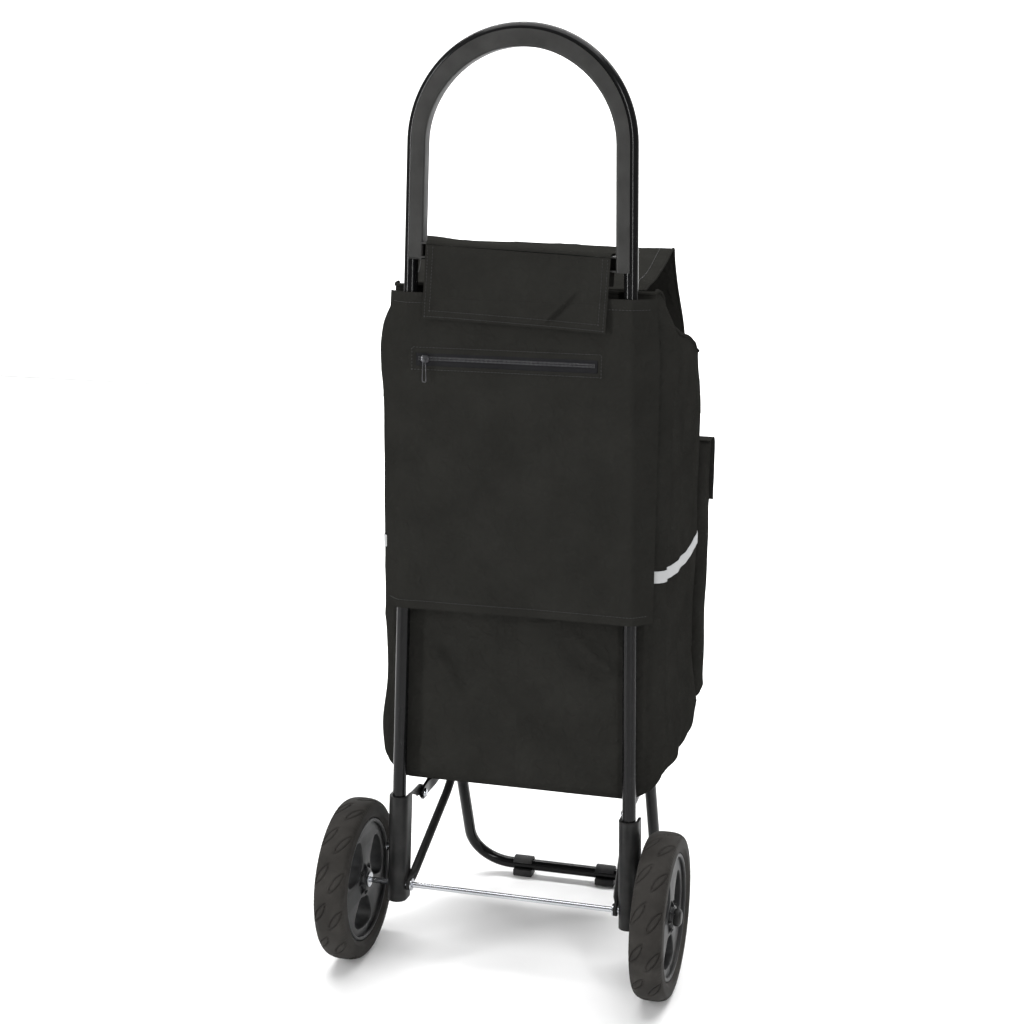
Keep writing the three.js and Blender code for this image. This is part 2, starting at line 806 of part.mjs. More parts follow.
sides.forEach(({ name, sign }) => {
  const wheel = new THREE.Group();
  wheel.position.x = (sign * wheel_spacing) / 2;
  axleLine.add(wheel);
  place(wheel, `tyre_${name}`, tyre(), rubber);
  place(wheel, `rim_${name}`, rim(), rim_plastic);
  place(wheel, `hub_bush_${name}`, bush(), chrome);
  const inside = washer(washer_diameter, washer_thickness);
  inside.translate(sign > 0 ? -hub_half - washer_seat : hub_half + seat_gap, 0, 0);
  place(wheel, `wheel_washer_${name}`, inside, chrome);
  const cap = axleCap();
  if (sign < 0) cap.rotateY(Math.PI);
  place(wheel, `axle_cap_${name}`, cap.translate(sign * cap_start, 0, 0), satin_black);

  // The clip inside each strut keeps the axle from sliding through the frame.
  const clip = washer(clip_diameter, clip_thickness);
  const clip_inner = strut_low_spread - strut_end_thickness / 2 - seat_gap - clip_thickness;
  clip.translate(frame_offset + (sign > 0 ? clip_inner : -clip_inner - clip_thickness), 0, 0);
  place(axleLine, `axle_clip_${name}`, clip, chrome);
});

// ---- Bag ----
const bag_half = bag_width / 2;
const board_seat = bag_bottom + bag_wall + seat_gap;

function bagBody() {
  const outline = (inset, raise) => [
    [bag_back + inset, bag_bottom + inset],
    [bag_front - inset, bag_bottom + inset],
    [bag_front - inset, bag_front_top + raise],
    [bag_back + bag_droop_forward, bag_side_top + raise],
    [bag_back + inset, bag_back_top + raise],
  ];
  const inner_half = bag_half - bag_wall;
  const bag_open_top = 80; // the hollow runs out past the mouth
  return cut(
    acrossX(polygon(outline(0, 0)), -bag_half, bag_half),
    acrossX(polygon(outline(bag_wall, bag_open_top)), -inner_half, inner_half),
  );
}
place(frame, "bag_body", bagBody(), fabric);

const board_margin = bag_wall + 1;
place(
  frame,
  "base_board",
  block(
    -bag_half + board_margin,
    bag_half - board_margin,
    bag_back + board_margin,
    bag_front - board_margin,
    board_seat,
    board_seat + board_thickness,
  ),
  board_grey,
);

function lid() {
  const sewn_edge = bag_back + bag_wall + seat_gap;
  const skirt_inner = bag_front + seat_gap;
  const skirt_outer = skirt_inner + lid_thickness;
  const profile = [
    [sewn_edge, lid_hinge_height - lid_thickness],
    [skirt_inner, lid_front_height],
    [skirt_inner, lid_skirt_bottom],
    [skirt_outer, lid_skirt_bottom],
    [skirt_outer, lid_front_height + lid_thickness],
    [sewn_edge, lid_hinge_height],
  ];
  return acrossX(polygon(profile), -lid_width / 2, lid_width / 2);
}
place(frame, "bag_lid", lid(), fabric);

// ---- Sleeve that slides over both legs ----
function sleeve() {
  const edge = (h, extra) => legSpread(h) + tube_radius + sleeve_tube_gap + extra;
  const face = (bottom, top, extra) =>
    polygon([
      [-edge(bottom, extra), bottom],
      [edge(bottom, extra), bottom],
      [edge(top, extra), top],
      [-edge(top, extra), top],
    ]);
  const inner_depth = sleeve_half_depth - sleeve_wall;
  const past = 5; // the hollow runs out past both ends
  return cut(
    forwardY(face(sleeve_bottom, sleeve_top, sleeve_wall), -sleeve_half_depth, sleeve_half_depth),
    forwardY(face(sleeve_bottom - past, sleeve_top + past, 0), -inner_depth, inner_depth),
  );
}
place(frame, "back_sleeve", sleeve(), fabric);

// ---- Hanger: cloth folded over the crossbar, with a front flap that lifts ----
const hanger = new THREE.Group();
hanger.position.set(0, 0, crossbar_height);
hanger.rotation.y = crossbar_tilt;
frame.add(hanger);
const hanger_half = hanger_width / 2;
const bar_half_depth = insert_depth / 2 + seat_gap;
const bar_top = crossbar_size / 2 + seat_gap;
const flap_top = bar_top + hanger_cloth;

const hanger_profile = [
  [bar_half_depth, hanger_back_bottom - crossbar_height],
  [bar_half_depth + hanger_cloth, hanger_back_bottom - crossbar_height],
  [bar_half_depth + hanger_cloth, flap_top],
  [flap_back + seat_gap, flap_top],
  [flap_back + seat_gap, bar_top],
  [bar_half_depth, bar_top],
];
place(hanger, "hanger_strap", acrossX(polygon(hanger_profile), -hanger_half, hanger_half), fabric);
place(
  hanger,
  "hanger_flap",
  block(
    -hanger_half,
    hanger_half,
    flap_back - flap_thickness,
    flap_back,
    flap_top - flap_length,
    flap_top,
  ),
  fabric,
);

// ---- Zip on the sleeve, with its slider parked at the left end ----
const zip_back = -(sleeve_half_depth + seat_gap);
const zip_front = zip_back - zip_thickness;
const zip_left = zip_centre - zip_length / 2;
place(
  frame,
  "zip_tape",
  block(
    zip_left,
    zip_left + zip_length,
    zip_front,
    zip_back,
    zip_height - zip_band / 2,
    zip_height + zip_band / 2,
  ),
  zip_black,
);
const slider_left = zip_left + slider_end_margin;
const slider_back = zip_front - running_gap;
const slider_front = slider_back - slider_thickness;
const pull_back = slider_front - seat_gap;
place(
  frame,
  "zip_slider",
  block(
    slider_left,
    slider_left + slider_length,
    slider_front,
    slider_back,
    zip_height - slider_width / 2,
    zip_height + slider_width / 2,
  ),
  chrome,
);
const pull_middle = slider_left + slider_length / 2;
place(
  frame,
  "zip_pull",
  block(
    pull_middle - pull_width / 2,
    pull_middle + pull_width / 2,
    pull_back - pull_thickness,
    pull_back,
    zip_height - pull_length,
    zip_height,
  ),
  zip_black,
);

// ---- Front pocket with its flap ----
function frontPocket() {
  const back = bag_front + seat_gap;
  const past = 5; // the hollow runs out past the pocket's mouth
  return cut(
    block(-bag_half, bag_half, back, pocket_front, pocket_bottom, pocket_top),
    block(
      -bag_half + pocket_wall,
      bag_half - pocket_wall,
      back + pocket_wall,
      pocket_front - pocket_wall,
      pocket_bottom + pocket_wall,
      pocket_top + past,
    ),
  );
}
place(frame, "front_pocket", frontPocket(), fabric);

function pocketFlap() {
  const under = pocket_top + seat_gap;
  const front = pocket_front + seat_gap;
  const profile = [
    [bag_front + seat_gap, under],
    [front, under],
    [front, pocket_top - pocket_flap_drop],
    [front + pocket_flap_thickness, pocket_top - pocket_flap_drop],
    [front + pocket_flap_thickness, under + pocket_flap_thickness],
    [bag_front + seat_gap, under + pocket_flap_thickness],
  ];
  return acrossX(polygon(profile), -bag_half, bag_half);
}
place(frame, "pocket_flap", pocketFlap(), fabric);

// ---- Reflective strips on the bag's sides ----
sides.forEach(({ name, sign }) => {
  const near = bag_half + seat_gap;
  const far = near + strip_thickness;
  const strip = block(
    Math.min(sign * near, sign * far),
    Math.max(sign * near, sign * far),
    bag_back + strip_margin,
    bag_front - strip_margin,
    strip_level - strip_height / 2,
    strip_level + strip_height / 2,
  );
  place(frame, `reflective_strip_${name}`, strip, strip_silver);
});

export default trolley;
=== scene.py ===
import math

import bmesh
import bpy
import numpy as np
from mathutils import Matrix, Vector


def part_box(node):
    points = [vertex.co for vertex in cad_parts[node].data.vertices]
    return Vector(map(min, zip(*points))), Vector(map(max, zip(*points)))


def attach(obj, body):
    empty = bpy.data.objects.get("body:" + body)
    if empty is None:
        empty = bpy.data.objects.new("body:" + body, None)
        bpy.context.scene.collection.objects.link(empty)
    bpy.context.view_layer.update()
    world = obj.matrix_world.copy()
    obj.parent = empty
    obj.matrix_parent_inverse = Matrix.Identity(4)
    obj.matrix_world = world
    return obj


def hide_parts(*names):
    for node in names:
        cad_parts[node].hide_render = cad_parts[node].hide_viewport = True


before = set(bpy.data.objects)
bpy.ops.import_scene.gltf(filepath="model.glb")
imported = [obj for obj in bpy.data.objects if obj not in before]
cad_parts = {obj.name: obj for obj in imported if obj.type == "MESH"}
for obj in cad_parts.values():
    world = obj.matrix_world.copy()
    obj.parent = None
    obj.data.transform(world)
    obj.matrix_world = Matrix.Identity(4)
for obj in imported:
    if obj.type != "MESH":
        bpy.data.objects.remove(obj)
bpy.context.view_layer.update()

bl_info = {
    "name": "Shopping Trolley Looks",
    "version": (1, 0, 0),
    "blender": (4, 5, 0),
    "location": "View3D > Sidebar > Trolley",
    "description": "Builds the cloth, plastic and metal looks of a wheeled shopping trolley",
    "category": "Object",
}

MM = 1000.0


def box_mm(node):
    low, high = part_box(node)
    return np.array(low) * MM, np.array(high) * MM


def centre_mm(node):
    low, high = box_mm(node)
    return (low + high) / 2


# The handle frame
LEAN = math.radians(2.73)
AXLE = centre_mm("axle")
FRAME_X = centre_mm("base_board")[0]
ARCH_RADIUS = 108.0
ARCH_HEIGHT = 767.0
LEG_FLARE = math.radians(1.26)
CROSSBAR_HEIGHT = 660.9
CROSSBAR_TILT = math.radians(2.5)

# The foot loop and the struts: forward of the axle and up from the floor
FOOT_TUBE_RADIUS = 6.5
FOOT_BEND = (165.0, 183.0)
FOOT_TOE = (232.0, 13.0)
FOOT_EYE = 7.0
STRUT_RADIUS = 4.7
STRUT_EYE = 6.8
STRUT_KNEE = (104.0, 150.0)
PRESSED_HALF = 2.0

# The wheels
WHEEL_PITCHES = 13
PITCH_STEPS = 48
TYRE_HALF = 17.0
TYRE_CROWN = 85.0
TYRE_SHOULDER = 9.0
TYRE_BEAD = 65.0
BARREL_RADIUS = 60.6
WEB_THICKNESS = 22.0
WEB_EDGE = 1.4
WINDOW_COUNT = 3
WINDOW_TURN = 137
HUB_HALF = 15

# The bag, its sleeve and its zip
BAG_BACK = 9.9
BAG_FRONT = 227.9
BAG_BOTTOM = 112.0
BAG_WIDTH = 284.0
BAG_CORNER = 9.0
BAG_COUNTS = (42, 62, 8)
SLEEVE_BOTTOM = 304.0
SLEEVE_TOP = 624.0
SLEEVE_REACH = 8.6
ZIP_HEIGHT = 559.0
ZIP_LEFT = -100.5
ZIP_RIGHT = 79.5

# The lid and the front pocket
LID_HINGE = (BAG_BACK + 2.7, 632.0)
LID_FRONT = 228.0
LID_HEM = 541.0
LID_SKIRT_RUN = 216
POCKET_HALF = 152.0
POCKET_DEPTH = 34.0
POCKET_BOTTOM = 159.0
POCKET_TOP = 452.0
POCKET_FLAP_HALF = 154.5

SHEET_EDGE = 60
DUST_COLOUR = (0.25, 0.24, 0.22)


def leg_spread(h):
    """How far each leg's centre line is from the middle at height h."""
    return ARCH_RADIUS / math.cos(LEG_FLARE) + (ARCH_HEIGHT - np.asarray(h, float)) * math.tan(LEG_FLARE)


def row(points):
    """Points of the leaning plane, in millimetres, as points of the row frame in metres."""
    p = np.asarray(points, float)
    forward = AXLE[1] + p[..., 1] * math.cos(LEAN) + p[..., 2] * math.sin(LEAN)
    up = AXLE[2] - p[..., 1] * math.sin(LEAN) + p[..., 2] * math.cos(LEAN)
    return np.stack([FRAME_X + p[..., 0], forward, up], -1) / MM


def upright(points):
    """Points (across, forward of the axle, up from the floor), as row-frame metres."""
    p = np.asarray(points, float)
    return np.stack([FRAME_X + p[..., 0], AXLE[1] + p[..., 1], p[..., 2]], -1) / MM


def smooth_step(value, low, high):
    t = np.clip((np.asarray(value, float) - low) / (high - low), 0, 1)
    return t * t * (3 - 2 * t)


def hump(value, centre, width):
    return np.exp(-(((np.asarray(value, float) - centre) / width) ** 2))


def ripple(points, seed, wavelength, warp=1.0, stretch=(1, 1, 1), waves=6):
    """Repeatable smooth waves from about -1 to 1 over the given points."""
    random = np.random.default_rng(seed)
    p = np.asarray(points, float) * np.asarray(stretch, float) * (2 * math.pi / wavelength)
    total = np.zeros(p.shape[:-1])
    for _ in range(waves):
        direction = random.normal(size=3)
        direction /= np.linalg.norm(direction)
        side = random.normal(size=3) * 0.5
        pace = random.uniform(0.6, 1.5)
        phase, turn = random.uniform(0, 2 * math.pi, 2)
        total += np.sin(p @ direction * pace + phase + warp * np.sin(p @ side + turn))
    return total / math.sqrt(waves)


def creased(points, seed, wavelength, stretch=(1, 1, 1), sharp=3):
    """Thin ridges such as folds leave in cloth, from 0 to 1."""
    return (1 - np.clip(np.abs(ripple(points, seed, wavelength, 1.6, stretch)), 0, 1)) ** sharp


def run_length(line):
    """Distance along a line of points, from 0 at its first point."""
    return np.concatenate([[0], np.cumsum(np.linalg.norm(np.diff(line, axis=0), axis=1))])


def line_folds(across, up, folds, outside, inside):
    """Straight folds, each with its two ends, half width and depth, that fade near their ends."""
    total = np.zeros_like(across)
    for x0, h0, x1, h1, wide, deep in folds:
        along = np.array([x1 - x0, h1 - h0], float)
        length = np.linalg.norm(along)
        along /= length
        t = (across - x0) * along[0] + (up - h0) * along[1]
        off = -(across - x0) * along[1] + (up - h0) * along[0]
        taper = smooth_step(t, -outside, inside)
        taper = taper * (1 - smooth_step(t, length - inside, length + outside))
        total = total + deep * taper * np.exp(-((off / wide) ** 2))
    return total


def swept(columns, line):
    """Points of a sheet: each place across, at each (forward, up) of the line."""
    return np.stack(
        [
            np.repeat(columns[None], len(line), 0),
            np.repeat(line[:, :1], len(columns), 1),
            np.repeat(line[:, 1:], len(columns), 1),
        ],
        -1,
    )


# ---- Meshes ----
def add_object(name, data):
    """An object of the data, linked to the scene."""
    made = bpy.data.objects.new(name, data)
    bpy.context.scene.collection.objects.link(made)
    return made


def smooth_all(piece):
    piece.data.polygons.foreach_set("use_smooth", [True] * len(piece.data.polygons))
    return piece


def new_piece(name, points, faces, uv=None):
    """A smooth mesh object from points in metres; uv is one pair for each face corner."""
    mesh = bpy.data.meshes.new(name)
    corners = np.asarray(points, float).reshape(-1, 3).tolist()
    mesh.from_pydata(corners, [], [list(map(int, f)) for f in faces])
    if uv is not None:
        layer = mesh.uv_layers.new(name="UVMap")
        layer.data.foreach_set("uv", np.asarray(uv, np.float32).ravel())
    mesh.update()
    return smooth_all(add_object(name, mesh))


def wire_piece(name, lines):
    """A mesh of bare edges along lines of points in metres."""
    points, edges = [], []
    for line in lines:
        first = len(points)
        points.extend(np.asarray(line, float).tolist())
        edges.extend((first + k, first + k + 1) for k in range(len(line) - 1))
    mesh = bpy.data.meshes.new(name)
    mesh.from_pydata(points, edges, [])
    return add_object(name, mesh)


def grid_faces(rows, columns, wrap_rows=False, wrap_columns=False):
    i, j = np.meshgrid(
        np.arange(rows if wrap_rows else rows - 1),
        np.arange(columns if wrap_columns else columns - 1),
        indexing="ij",
    )
    a, b = i * columns + j, i * columns + (j + 1) % columns
    c, d = (i + 1) % rows * columns + (j + 1) % columns, (i + 1) % rows * columns + j
    return np.stack([a, b, c, d], -1).reshape(-1, 4)


def grid_piece(name, points, uv=None, wrap_rows=False, wrap_columns=False, caps=False):
    """A quad grid of rows and columns; caps closes the first and last rows with flat faces."""
    rows, columns = points.shape[:2]
    quads = grid_faces(rows, columns, wrap_rows, wrap_columns)
    faces = [list(q) for q in quads]
    if caps:
        faces.append(list(range(columns))[::-1])
        faces.append([(rows - 1) * columns + k for k in range(columns)])
    corner_uv = None
    if uv is not None:
        full = np.asarray(uv, float)
        i, j = np.meshgrid(*(np.arange(size - 1) for size in full.shape[:2]), indexing="ij")
        picks = [(i, j), (i, j + 1), (i + 1, j + 1), (i + 1, j)]
        corner_uv = np.stack([full[a, b] for a, b in picks], 2).reshape(-1, 2)
        if caps:
            corner_uv = np.concatenate([corner_uv, np.zeros((2 * columns, 2))])
    piece = new_piece(name, points, faces, corner_uv)
    if (wrap_rows and wrap_columns) or (wrap_columns and caps):
        turn_outward(piece)
    return piece


def turn_outward(piece):
    """Turns every face of a closed mesh outward, after merging doubles."""
    work = bmesh.new()
    work.from_mesh(piece.data)
    bmesh.ops.remove_doubles(work, verts=work.verts, dist=1e-6)
    bmesh.ops.recalc_face_normals(work, faces=work.faces)
    work.to_mesh(piece.data)
    work.free()
    piece.data.update()


def soften(piece, width, angle=35, segments=2):
    bevel = piece.modifiers.new("Softened edges", "BEVEL")
    bevel.width = width / MM
    bevel.segments = segments
    bevel.limit_method = "ANGLE"
    bevel.angle_limit = math.radians(angle)
    bevel.harden_normals = False
    return piece


def thicken(piece, thickness, offset=0.0):
    wall = piece.modifiers.new("Cloth thickness", "SOLIDIFY")
    wall.thickness = thickness / MM
    wall.offset = offset
    return piece


def freeze(piece):
    """Bakes the piece's modifiers into a plain mesh."""
    graph = bpy.context.evaluated_depsgraph_get()
    mesh = bpy.data.meshes.new_from_object(piece.evaluated_get(graph))
    piece.modifiers.clear()
    piece.data = mesh
    return piece


def sharpen(piece, angle=38):
    """Smooth shading, broken at edges steeper than the angle."""
    work = bmesh.new()
    work.from_mesh(piece.data)
    for edge in work.edges:
        if len(edge.link_faces) == 2:
            edge.smooth = edge.calc_face_angle(0) < math.radians(angle)
    work.to_mesh(piece.data)
    work.free()
    return piece


def node_copy(name, node, bevel_width, bevel_angle=35, segments=2):
    """A merged copy of a CAD node with its edges softened, to stand for it."""
    piece = add_object(name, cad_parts[node].data.copy())
    work = bmesh.new()
    work.from_mesh(piece.data)
    bmesh.ops.remove_doubles(work, verts=work.verts, dist=1e-5)
    bmesh.ops.dissolve_limit(work, angle_limit=math.radians(1), verts=work.verts, edges=work.edges)
    for face in work.faces:
        face.smooth = True
    work.to_mesh(piece.data)
    work.free()
    soften(piece, bevel_width, bevel_angle, segments)
    freeze(piece)
    return sharpen(piece)


def path_frames(centres, first_axis):
    """Two section axes at each point of a path, carried along it without twist."""
    centres = np.asarray(centres, float)
    tangents = np.gradient(centres, axis=0)
    tangents /= np.linalg.norm(tangents, axis=1)[:, None]
    axis = np.asarray(first_axis, float)
    firsts = []
    for tangent in tangents:
        axis = axis - tangent * (axis @ tangent)
        axis /= np.linalg.norm(axis)
        firsts.append(axis)
    firsts = np.array(firsts)
    return firsts, np.cross(tangents, firsts)


def tube_piece(name, centres, half_a, half_b, first_axis, sides=36, power=2.0):
    """A tube or rod along a path, with its section's half sizes given at each point."""
    centres = np.asarray(centres, float)
    firsts, seconds = path_frames(centres, first_axis)
    count = len(centres)
    a, b = np.broadcast_to(half_a, count), np.broadcast_to(half_b, count)
    n = np.broadcast_to(power, count)
    turn = np.linspace(0, 2 * math.pi, sides, endpoint=False)
    c, s = np.cos(turn)[None], np.sin(turn)[None]
    u = np.sign(c) * np.abs(c) ** (2 / n[:, None]) * a[:, None]
    v = np.sign(s) * np.abs(s) ** (2 / n[:, None]) * b[:, None]
    points = centres[:, None] + u[..., None] * firsts[:, None] + v[..., None] * seconds[:, None]
    return grid_piece(name, points, wrap_columns=True, caps=True)


def turned_piece(name, profile, centre, segments=48, direction=1):
    """A piece turned about an axis along X; profile is (along, radius) about centre, in mm."""
    along = np.array([p[0] for p in profile]) * direction
    radius = np.array([p[1] for p in profile])
    turn = np.linspace(0, 2 * math.pi, segments, endpoint=False)
    points = np.stack(
        [
            np.repeat((centre[0] + along)[:, None], segments, 1),
            centre[1] + radius[:, None] * np.cos(turn),
            centre[2] + radius[:, None] * np.sin(turn),
        ],
        -1,
    )
    piece = grid_piece(name, points / MM, wrap_columns=True, wrap_rows=True)
    return sharpen(piece, 30)


def rounded(profile, radius=0.5, steps=3):
    """A closed profile with each corner cut to a small arc."""
    made = []
    count = len(profile)
    for k in range(count):
        before, here, after = (np.array(profile[(k + d) % count], float) for d in (-1, 0, 1))
        to_before, to_after = before - here, after - here
        reach = min(radius, np.linalg.norm(to_before) * 0.45, np.linalg.norm(to_after) * 0.45)
        start = here + to_before / max(np.linalg.norm(to_before), 1e-9) * reach
        end = here + to_after / max(np.linalg.norm(to_after), 1e-9) * reach
        for step in range(steps + 1):
            t = step / steps
            made.append(tuple((1 - t) ** 2 * start + 2 * t * (1 - t) * here + t * t * end))
    return made


def cloth_sheet(name, points, uv, thickness, kind):
    """A sheet of cloth on a grid of points in metres, with its own thickness in mm."""
    sheet = grid_piece(name, points, uv)
    thicken(sheet, thickness)
    freeze(sheet)
    return paint(sharpen(smooth_all(sheet), SHEET_EDGE), kind)


def cloth_box(name, points, uv, thickness, forward, wall_height, floor_height):
    """A cloth box with an open mouth; the open edge below wall_height is closed by a floor."""
    piece = grid_piece(name, row(points), uv, wrap_columns=True)
    wall_z, floor_z = (row((0, forward, height))[2] for height in (wall_height, floor_height))
    work = bmesh.new()
    work.from_mesh(piece.data)
    low = [e for e in work.edges if e.is_boundary and max(v.co.z for v in e.verts) < wall_z]
    bmesh.ops.holes_fill(work, edges=low, sides=0)
    bmesh.ops.recalc_face_normals(work, faces=work.faces)
    work.to_mesh(piece.data)
    work.free()
    if sum(p.normal.z * p.area for p in piece.data.polygons if p.center.z < floor_z) > 0:
        piece.data.flip_normals()
    thicken(piece, thickness, -1.0)
    freeze(piece)
    return paint(smooth_all(piece), "cloth")


def finish_piece(piece, body, slot, *nodes):
    """Rides the piece on its body and hides the CAD nodes that it stands for; the slot is not used."""
    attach(piece, body)
    if nodes:
        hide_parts(*nodes)
    return piece


# ---- Shader groups and materials ----
def socket(tree, name, kind, direction="INPUT", default=None):
    made = tree.interface.new_socket(name=name, in_out=direction, socket_type=kind)
    if default is not None:
        made.default_value = default
    return made


def shader_group(name, inputs, outputs):
    tree = bpy.data.node_groups.new(name, "ShaderNodeTree")
    for label, kind, default in inputs:
        socket(tree, label, kind, "INPUT", default)
    for label, kind in outputs:
        socket(tree, label, kind, "OUTPUT")
    return tree, tree.nodes.new("NodeGroupInput"), tree.nodes.new("NodeGroupOutput")


def math_node(tree, operation, first, second=None, third=None):
    node = tree.nodes.new("ShaderNodeMath")
    node.operation = operation
    for index, value in enumerate((first, second, third)):
        if value is None:
            continue
        if isinstance(value, (int, float)):
            node.inputs[index].default_value = value
        else:
            tree.links.new(value, node.inputs[index])
    return node.outputs[0]


def noise_node(tree, vector, scale, detail=3.0, roughness=0.55):
    node = tree.nodes.new("ShaderNodeTexNoise")
    node.inputs["Detail"].default_value = detail
    node.inputs["Roughness"].default_value = roughness
    tree.links.new(vector, node.inputs["Vector"])
    if isinstance(scale, (int, float)):
        node.inputs["Scale"].default_value = scale
    else:
        tree.links.new(scale, node.inputs["Scale"])
    return node.outputs["Fac"]


def range_node(tree, value, low, high, to_low=0.0, to_high=1.0):
    node = tree.nodes.new("ShaderNodeMapRange")
    node.inputs["From Min"].default_value = low
    node.inputs["From Max"].default_value = high
    node.inputs["To Min"].default_value = to_low
    node.inputs["To Max"].default_value = to_high
    tree.links.new(value, node.inputs["Value"])
    return node.outputs["Result"]


def build_weave_group():
    """Plain weave: threads that pass over and under each other, with uneven tone."""
    tree, given, made = shader_group(
        "Plain weave",
        [("Surface", "NodeSocketVector", None), ("Threads per metre", "NodeSocketFloat", 1600.0)],
        [("Height", "NodeSocketFloat"), ("Tone", "NodeSocketFloat")],
    )
    scaled = tree.nodes.new("ShaderNodeVectorMath")
    scaled.operation = "SCALE"
    tree.links.new(given.outputs["Surface"], scaled.inputs[0])
    tree.links.new(given.outputs["Threads per metre"], scaled.inputs["Scale"])
    parts = tree.nodes.new("ShaderNodeSeparateXYZ")
    tree.links.new(scaled.outputs[0], parts.inputs[0])
    warp, weft = (
        math_node(tree, "ABSOLUTE", math_node(tree, "SINE", math_node(tree, "MULTIPLY", place, math.pi)))
        for place in (parts.outputs[0], parts.outputs[1])
    )
    checks = tree.nodes.new("ShaderNodeTexChecker")
    checks.inputs["Scale"].default_value = 1.0
    tree.links.new(scaled.outputs[0], checks.inputs["Vector"])
    over = math_node(tree, "MULTIPLY", warp, checks.outputs["Fac"])
    other = math_node(tree, "SUBTRACT", 1.0, checks.outputs["Fac"])
    under = math_node(tree, "MULTIPLY", weft, other)
    tree.links.new(math_node(tree, "ADD", over, under), made.inputs["Height"])
    cloudy = noise_node(tree, given.outputs["Surface"], 18.0, 4.0)
    tree.links.new(range_node(tree, cloudy, 0.3, 0.7), made.inputs["Tone"])
    return tree


def build_crumple_group():
    """Soft dents and thin creases, for cloth that has been folded."""
    tree, given, made = shader_group(
        "Crumple",
        [("Place", "NodeSocketVector", None), ("Scale", "NodeSocketFloat", 14.0)],
        [("Height", "NodeSocketFloat")],
    )
    soft = noise_node(tree, given.outputs["Place"], given.outputs["Scale"], 2.0, 0.5)
    tighter = math_node(tree, "MULTIPLY", given.outputs["Scale"], 3.1)
    finer = noise_node(tree, given.outputs["Place"], tighter, 2.0)
    ridge = math_node(tree, "ABSOLUTE", math_node(tree, "SUBTRACT", finer, 0.5))
    ridge = math_node(tree, "MULTIPLY", math_node(tree, "MINIMUM", ridge, 0.1), 1.6)
    tree.links.new(math_node(tree, "SUBTRACT", soft, ridge), made.inputs["Height"])
    return tree


def build_grain_group():
    """Fine pebbled grain of moulded plastic, foam rubber and powder paint."""
    tree, given, made = shader_group(
        "Fine grain",
        [("Place", "NodeSocketVector", None), ("Scale", "NodeSocketFloat", 900.0)],
        [("Height", "NodeSocketFloat"), ("Patches", "NodeSocketFloat")],
    )
    pebbles = noise_node(tree, given.outputs["Place"], given.outputs["Scale"], 2.0)
    tree.links.new(pebbles, made.inputs["Height"])
    broad = math_node(tree, "MULTIPLY", given.outputs["Scale"], 0.03)
    patches = noise_node(tree, given.outputs["Place"], broad, 4.0)
    tree.links.new(range_node(tree, patches, 0.35, 0.7), made.inputs["Patches"])
    return tree


def build_dust_group():
    """A mask of pale dust that gathers low down and in patches."""
    tree, given, made = shader_group(
        "Road dust",
        [
            ("Place", "NodeSocketVector", None),
            ("Top", "NodeSocketFloat", 0.25),
            ("Amount", "NodeSocketFloat", 0.3),
        ],
        [("Mask", "NodeSocketFloat")],
    )
    parts = tree.nodes.new("ShaderNodeSeparateXYZ")
    tree.links.new(given.outputs["Place"], parts.inputs[0])
    climb = math_node(tree, "DIVIDE", parts.outputs[2], given.outputs["Top"])
    low = math_node(tree, "MAXIMUM", math_node(tree, "SUBTRACT", 1.0, climb), 0.0)
    patches = range_node(tree, noise_node(tree, given.outputs["Place"], 45.0, 5.0), 0.4, 0.7)
    mask = math_node(tree, "MULTIPLY", low, patches)
    tree.links.new(math_node(tree, "MULTIPLY", mask, given.outputs["Amount"]), made.inputs["Mask"])
    return tree


GROUP_BUILDERS = {
    "weave": build_weave_group,
    "crumple": build_crumple_group,
    "grain": build_grain_group,
    "dust": build_dust_group,
}
GROUPS = {}
MATERIALS = {}


def group_node(tree, kind, **values):
    if kind not in GROUPS:
        GROUPS[kind] = GROUP_BUILDERS[kind]()
    node = tree.nodes.new("ShaderNodeGroup")
    node.node_tree = GROUPS[kind]
    for label, value in values.items():
        slot = node.inputs[label.replace("_", " ")]
        if isinstance(value, (int, float)):
            slot.default_value = value
        else:
            tree.links.new(value, slot)
    return node


def mix_colour(tree, mask, first, second):
    node = tree.nodes.new("ShaderNodeMix")
    node.data_type = "RGBA"
    tree.links.new(mask, node.inputs["Factor"])
    for slot, value in ((node.inputs["A"], first), (node.inputs["B"], second)):
        if isinstance(value, tuple):
            slot.default_value = (*value, 1.0)
        else:
            tree.links.new(value, slot)
    return node.outputs["Result"]


def bump_node(tree, height, strength, distance, normal=None):
    node = tree.nodes.new("ShaderNodeBump")
    node.inputs["Strength"].default_value = strength
    node.inputs["Distance"].default_value = distance / MM
    tree.links.new(height, node.inputs["Height"])
    if normal is not None:
        tree.links.new(normal, node.inputs["Normal"])
    return node.outputs["Normal"]


def start_material(name, **numbers):
    material = bpy.data.materials.new(name)
    material.use_nodes = True
    tree = material.node_tree
    shader = tree.nodes["Principled BSDF"]
    for label, value in numbers.items():
        shader.inputs[label.replace("_", " ")].default_value = value
    return material, tree, shader, tree.nodes.new("ShaderNodeTexCoord")


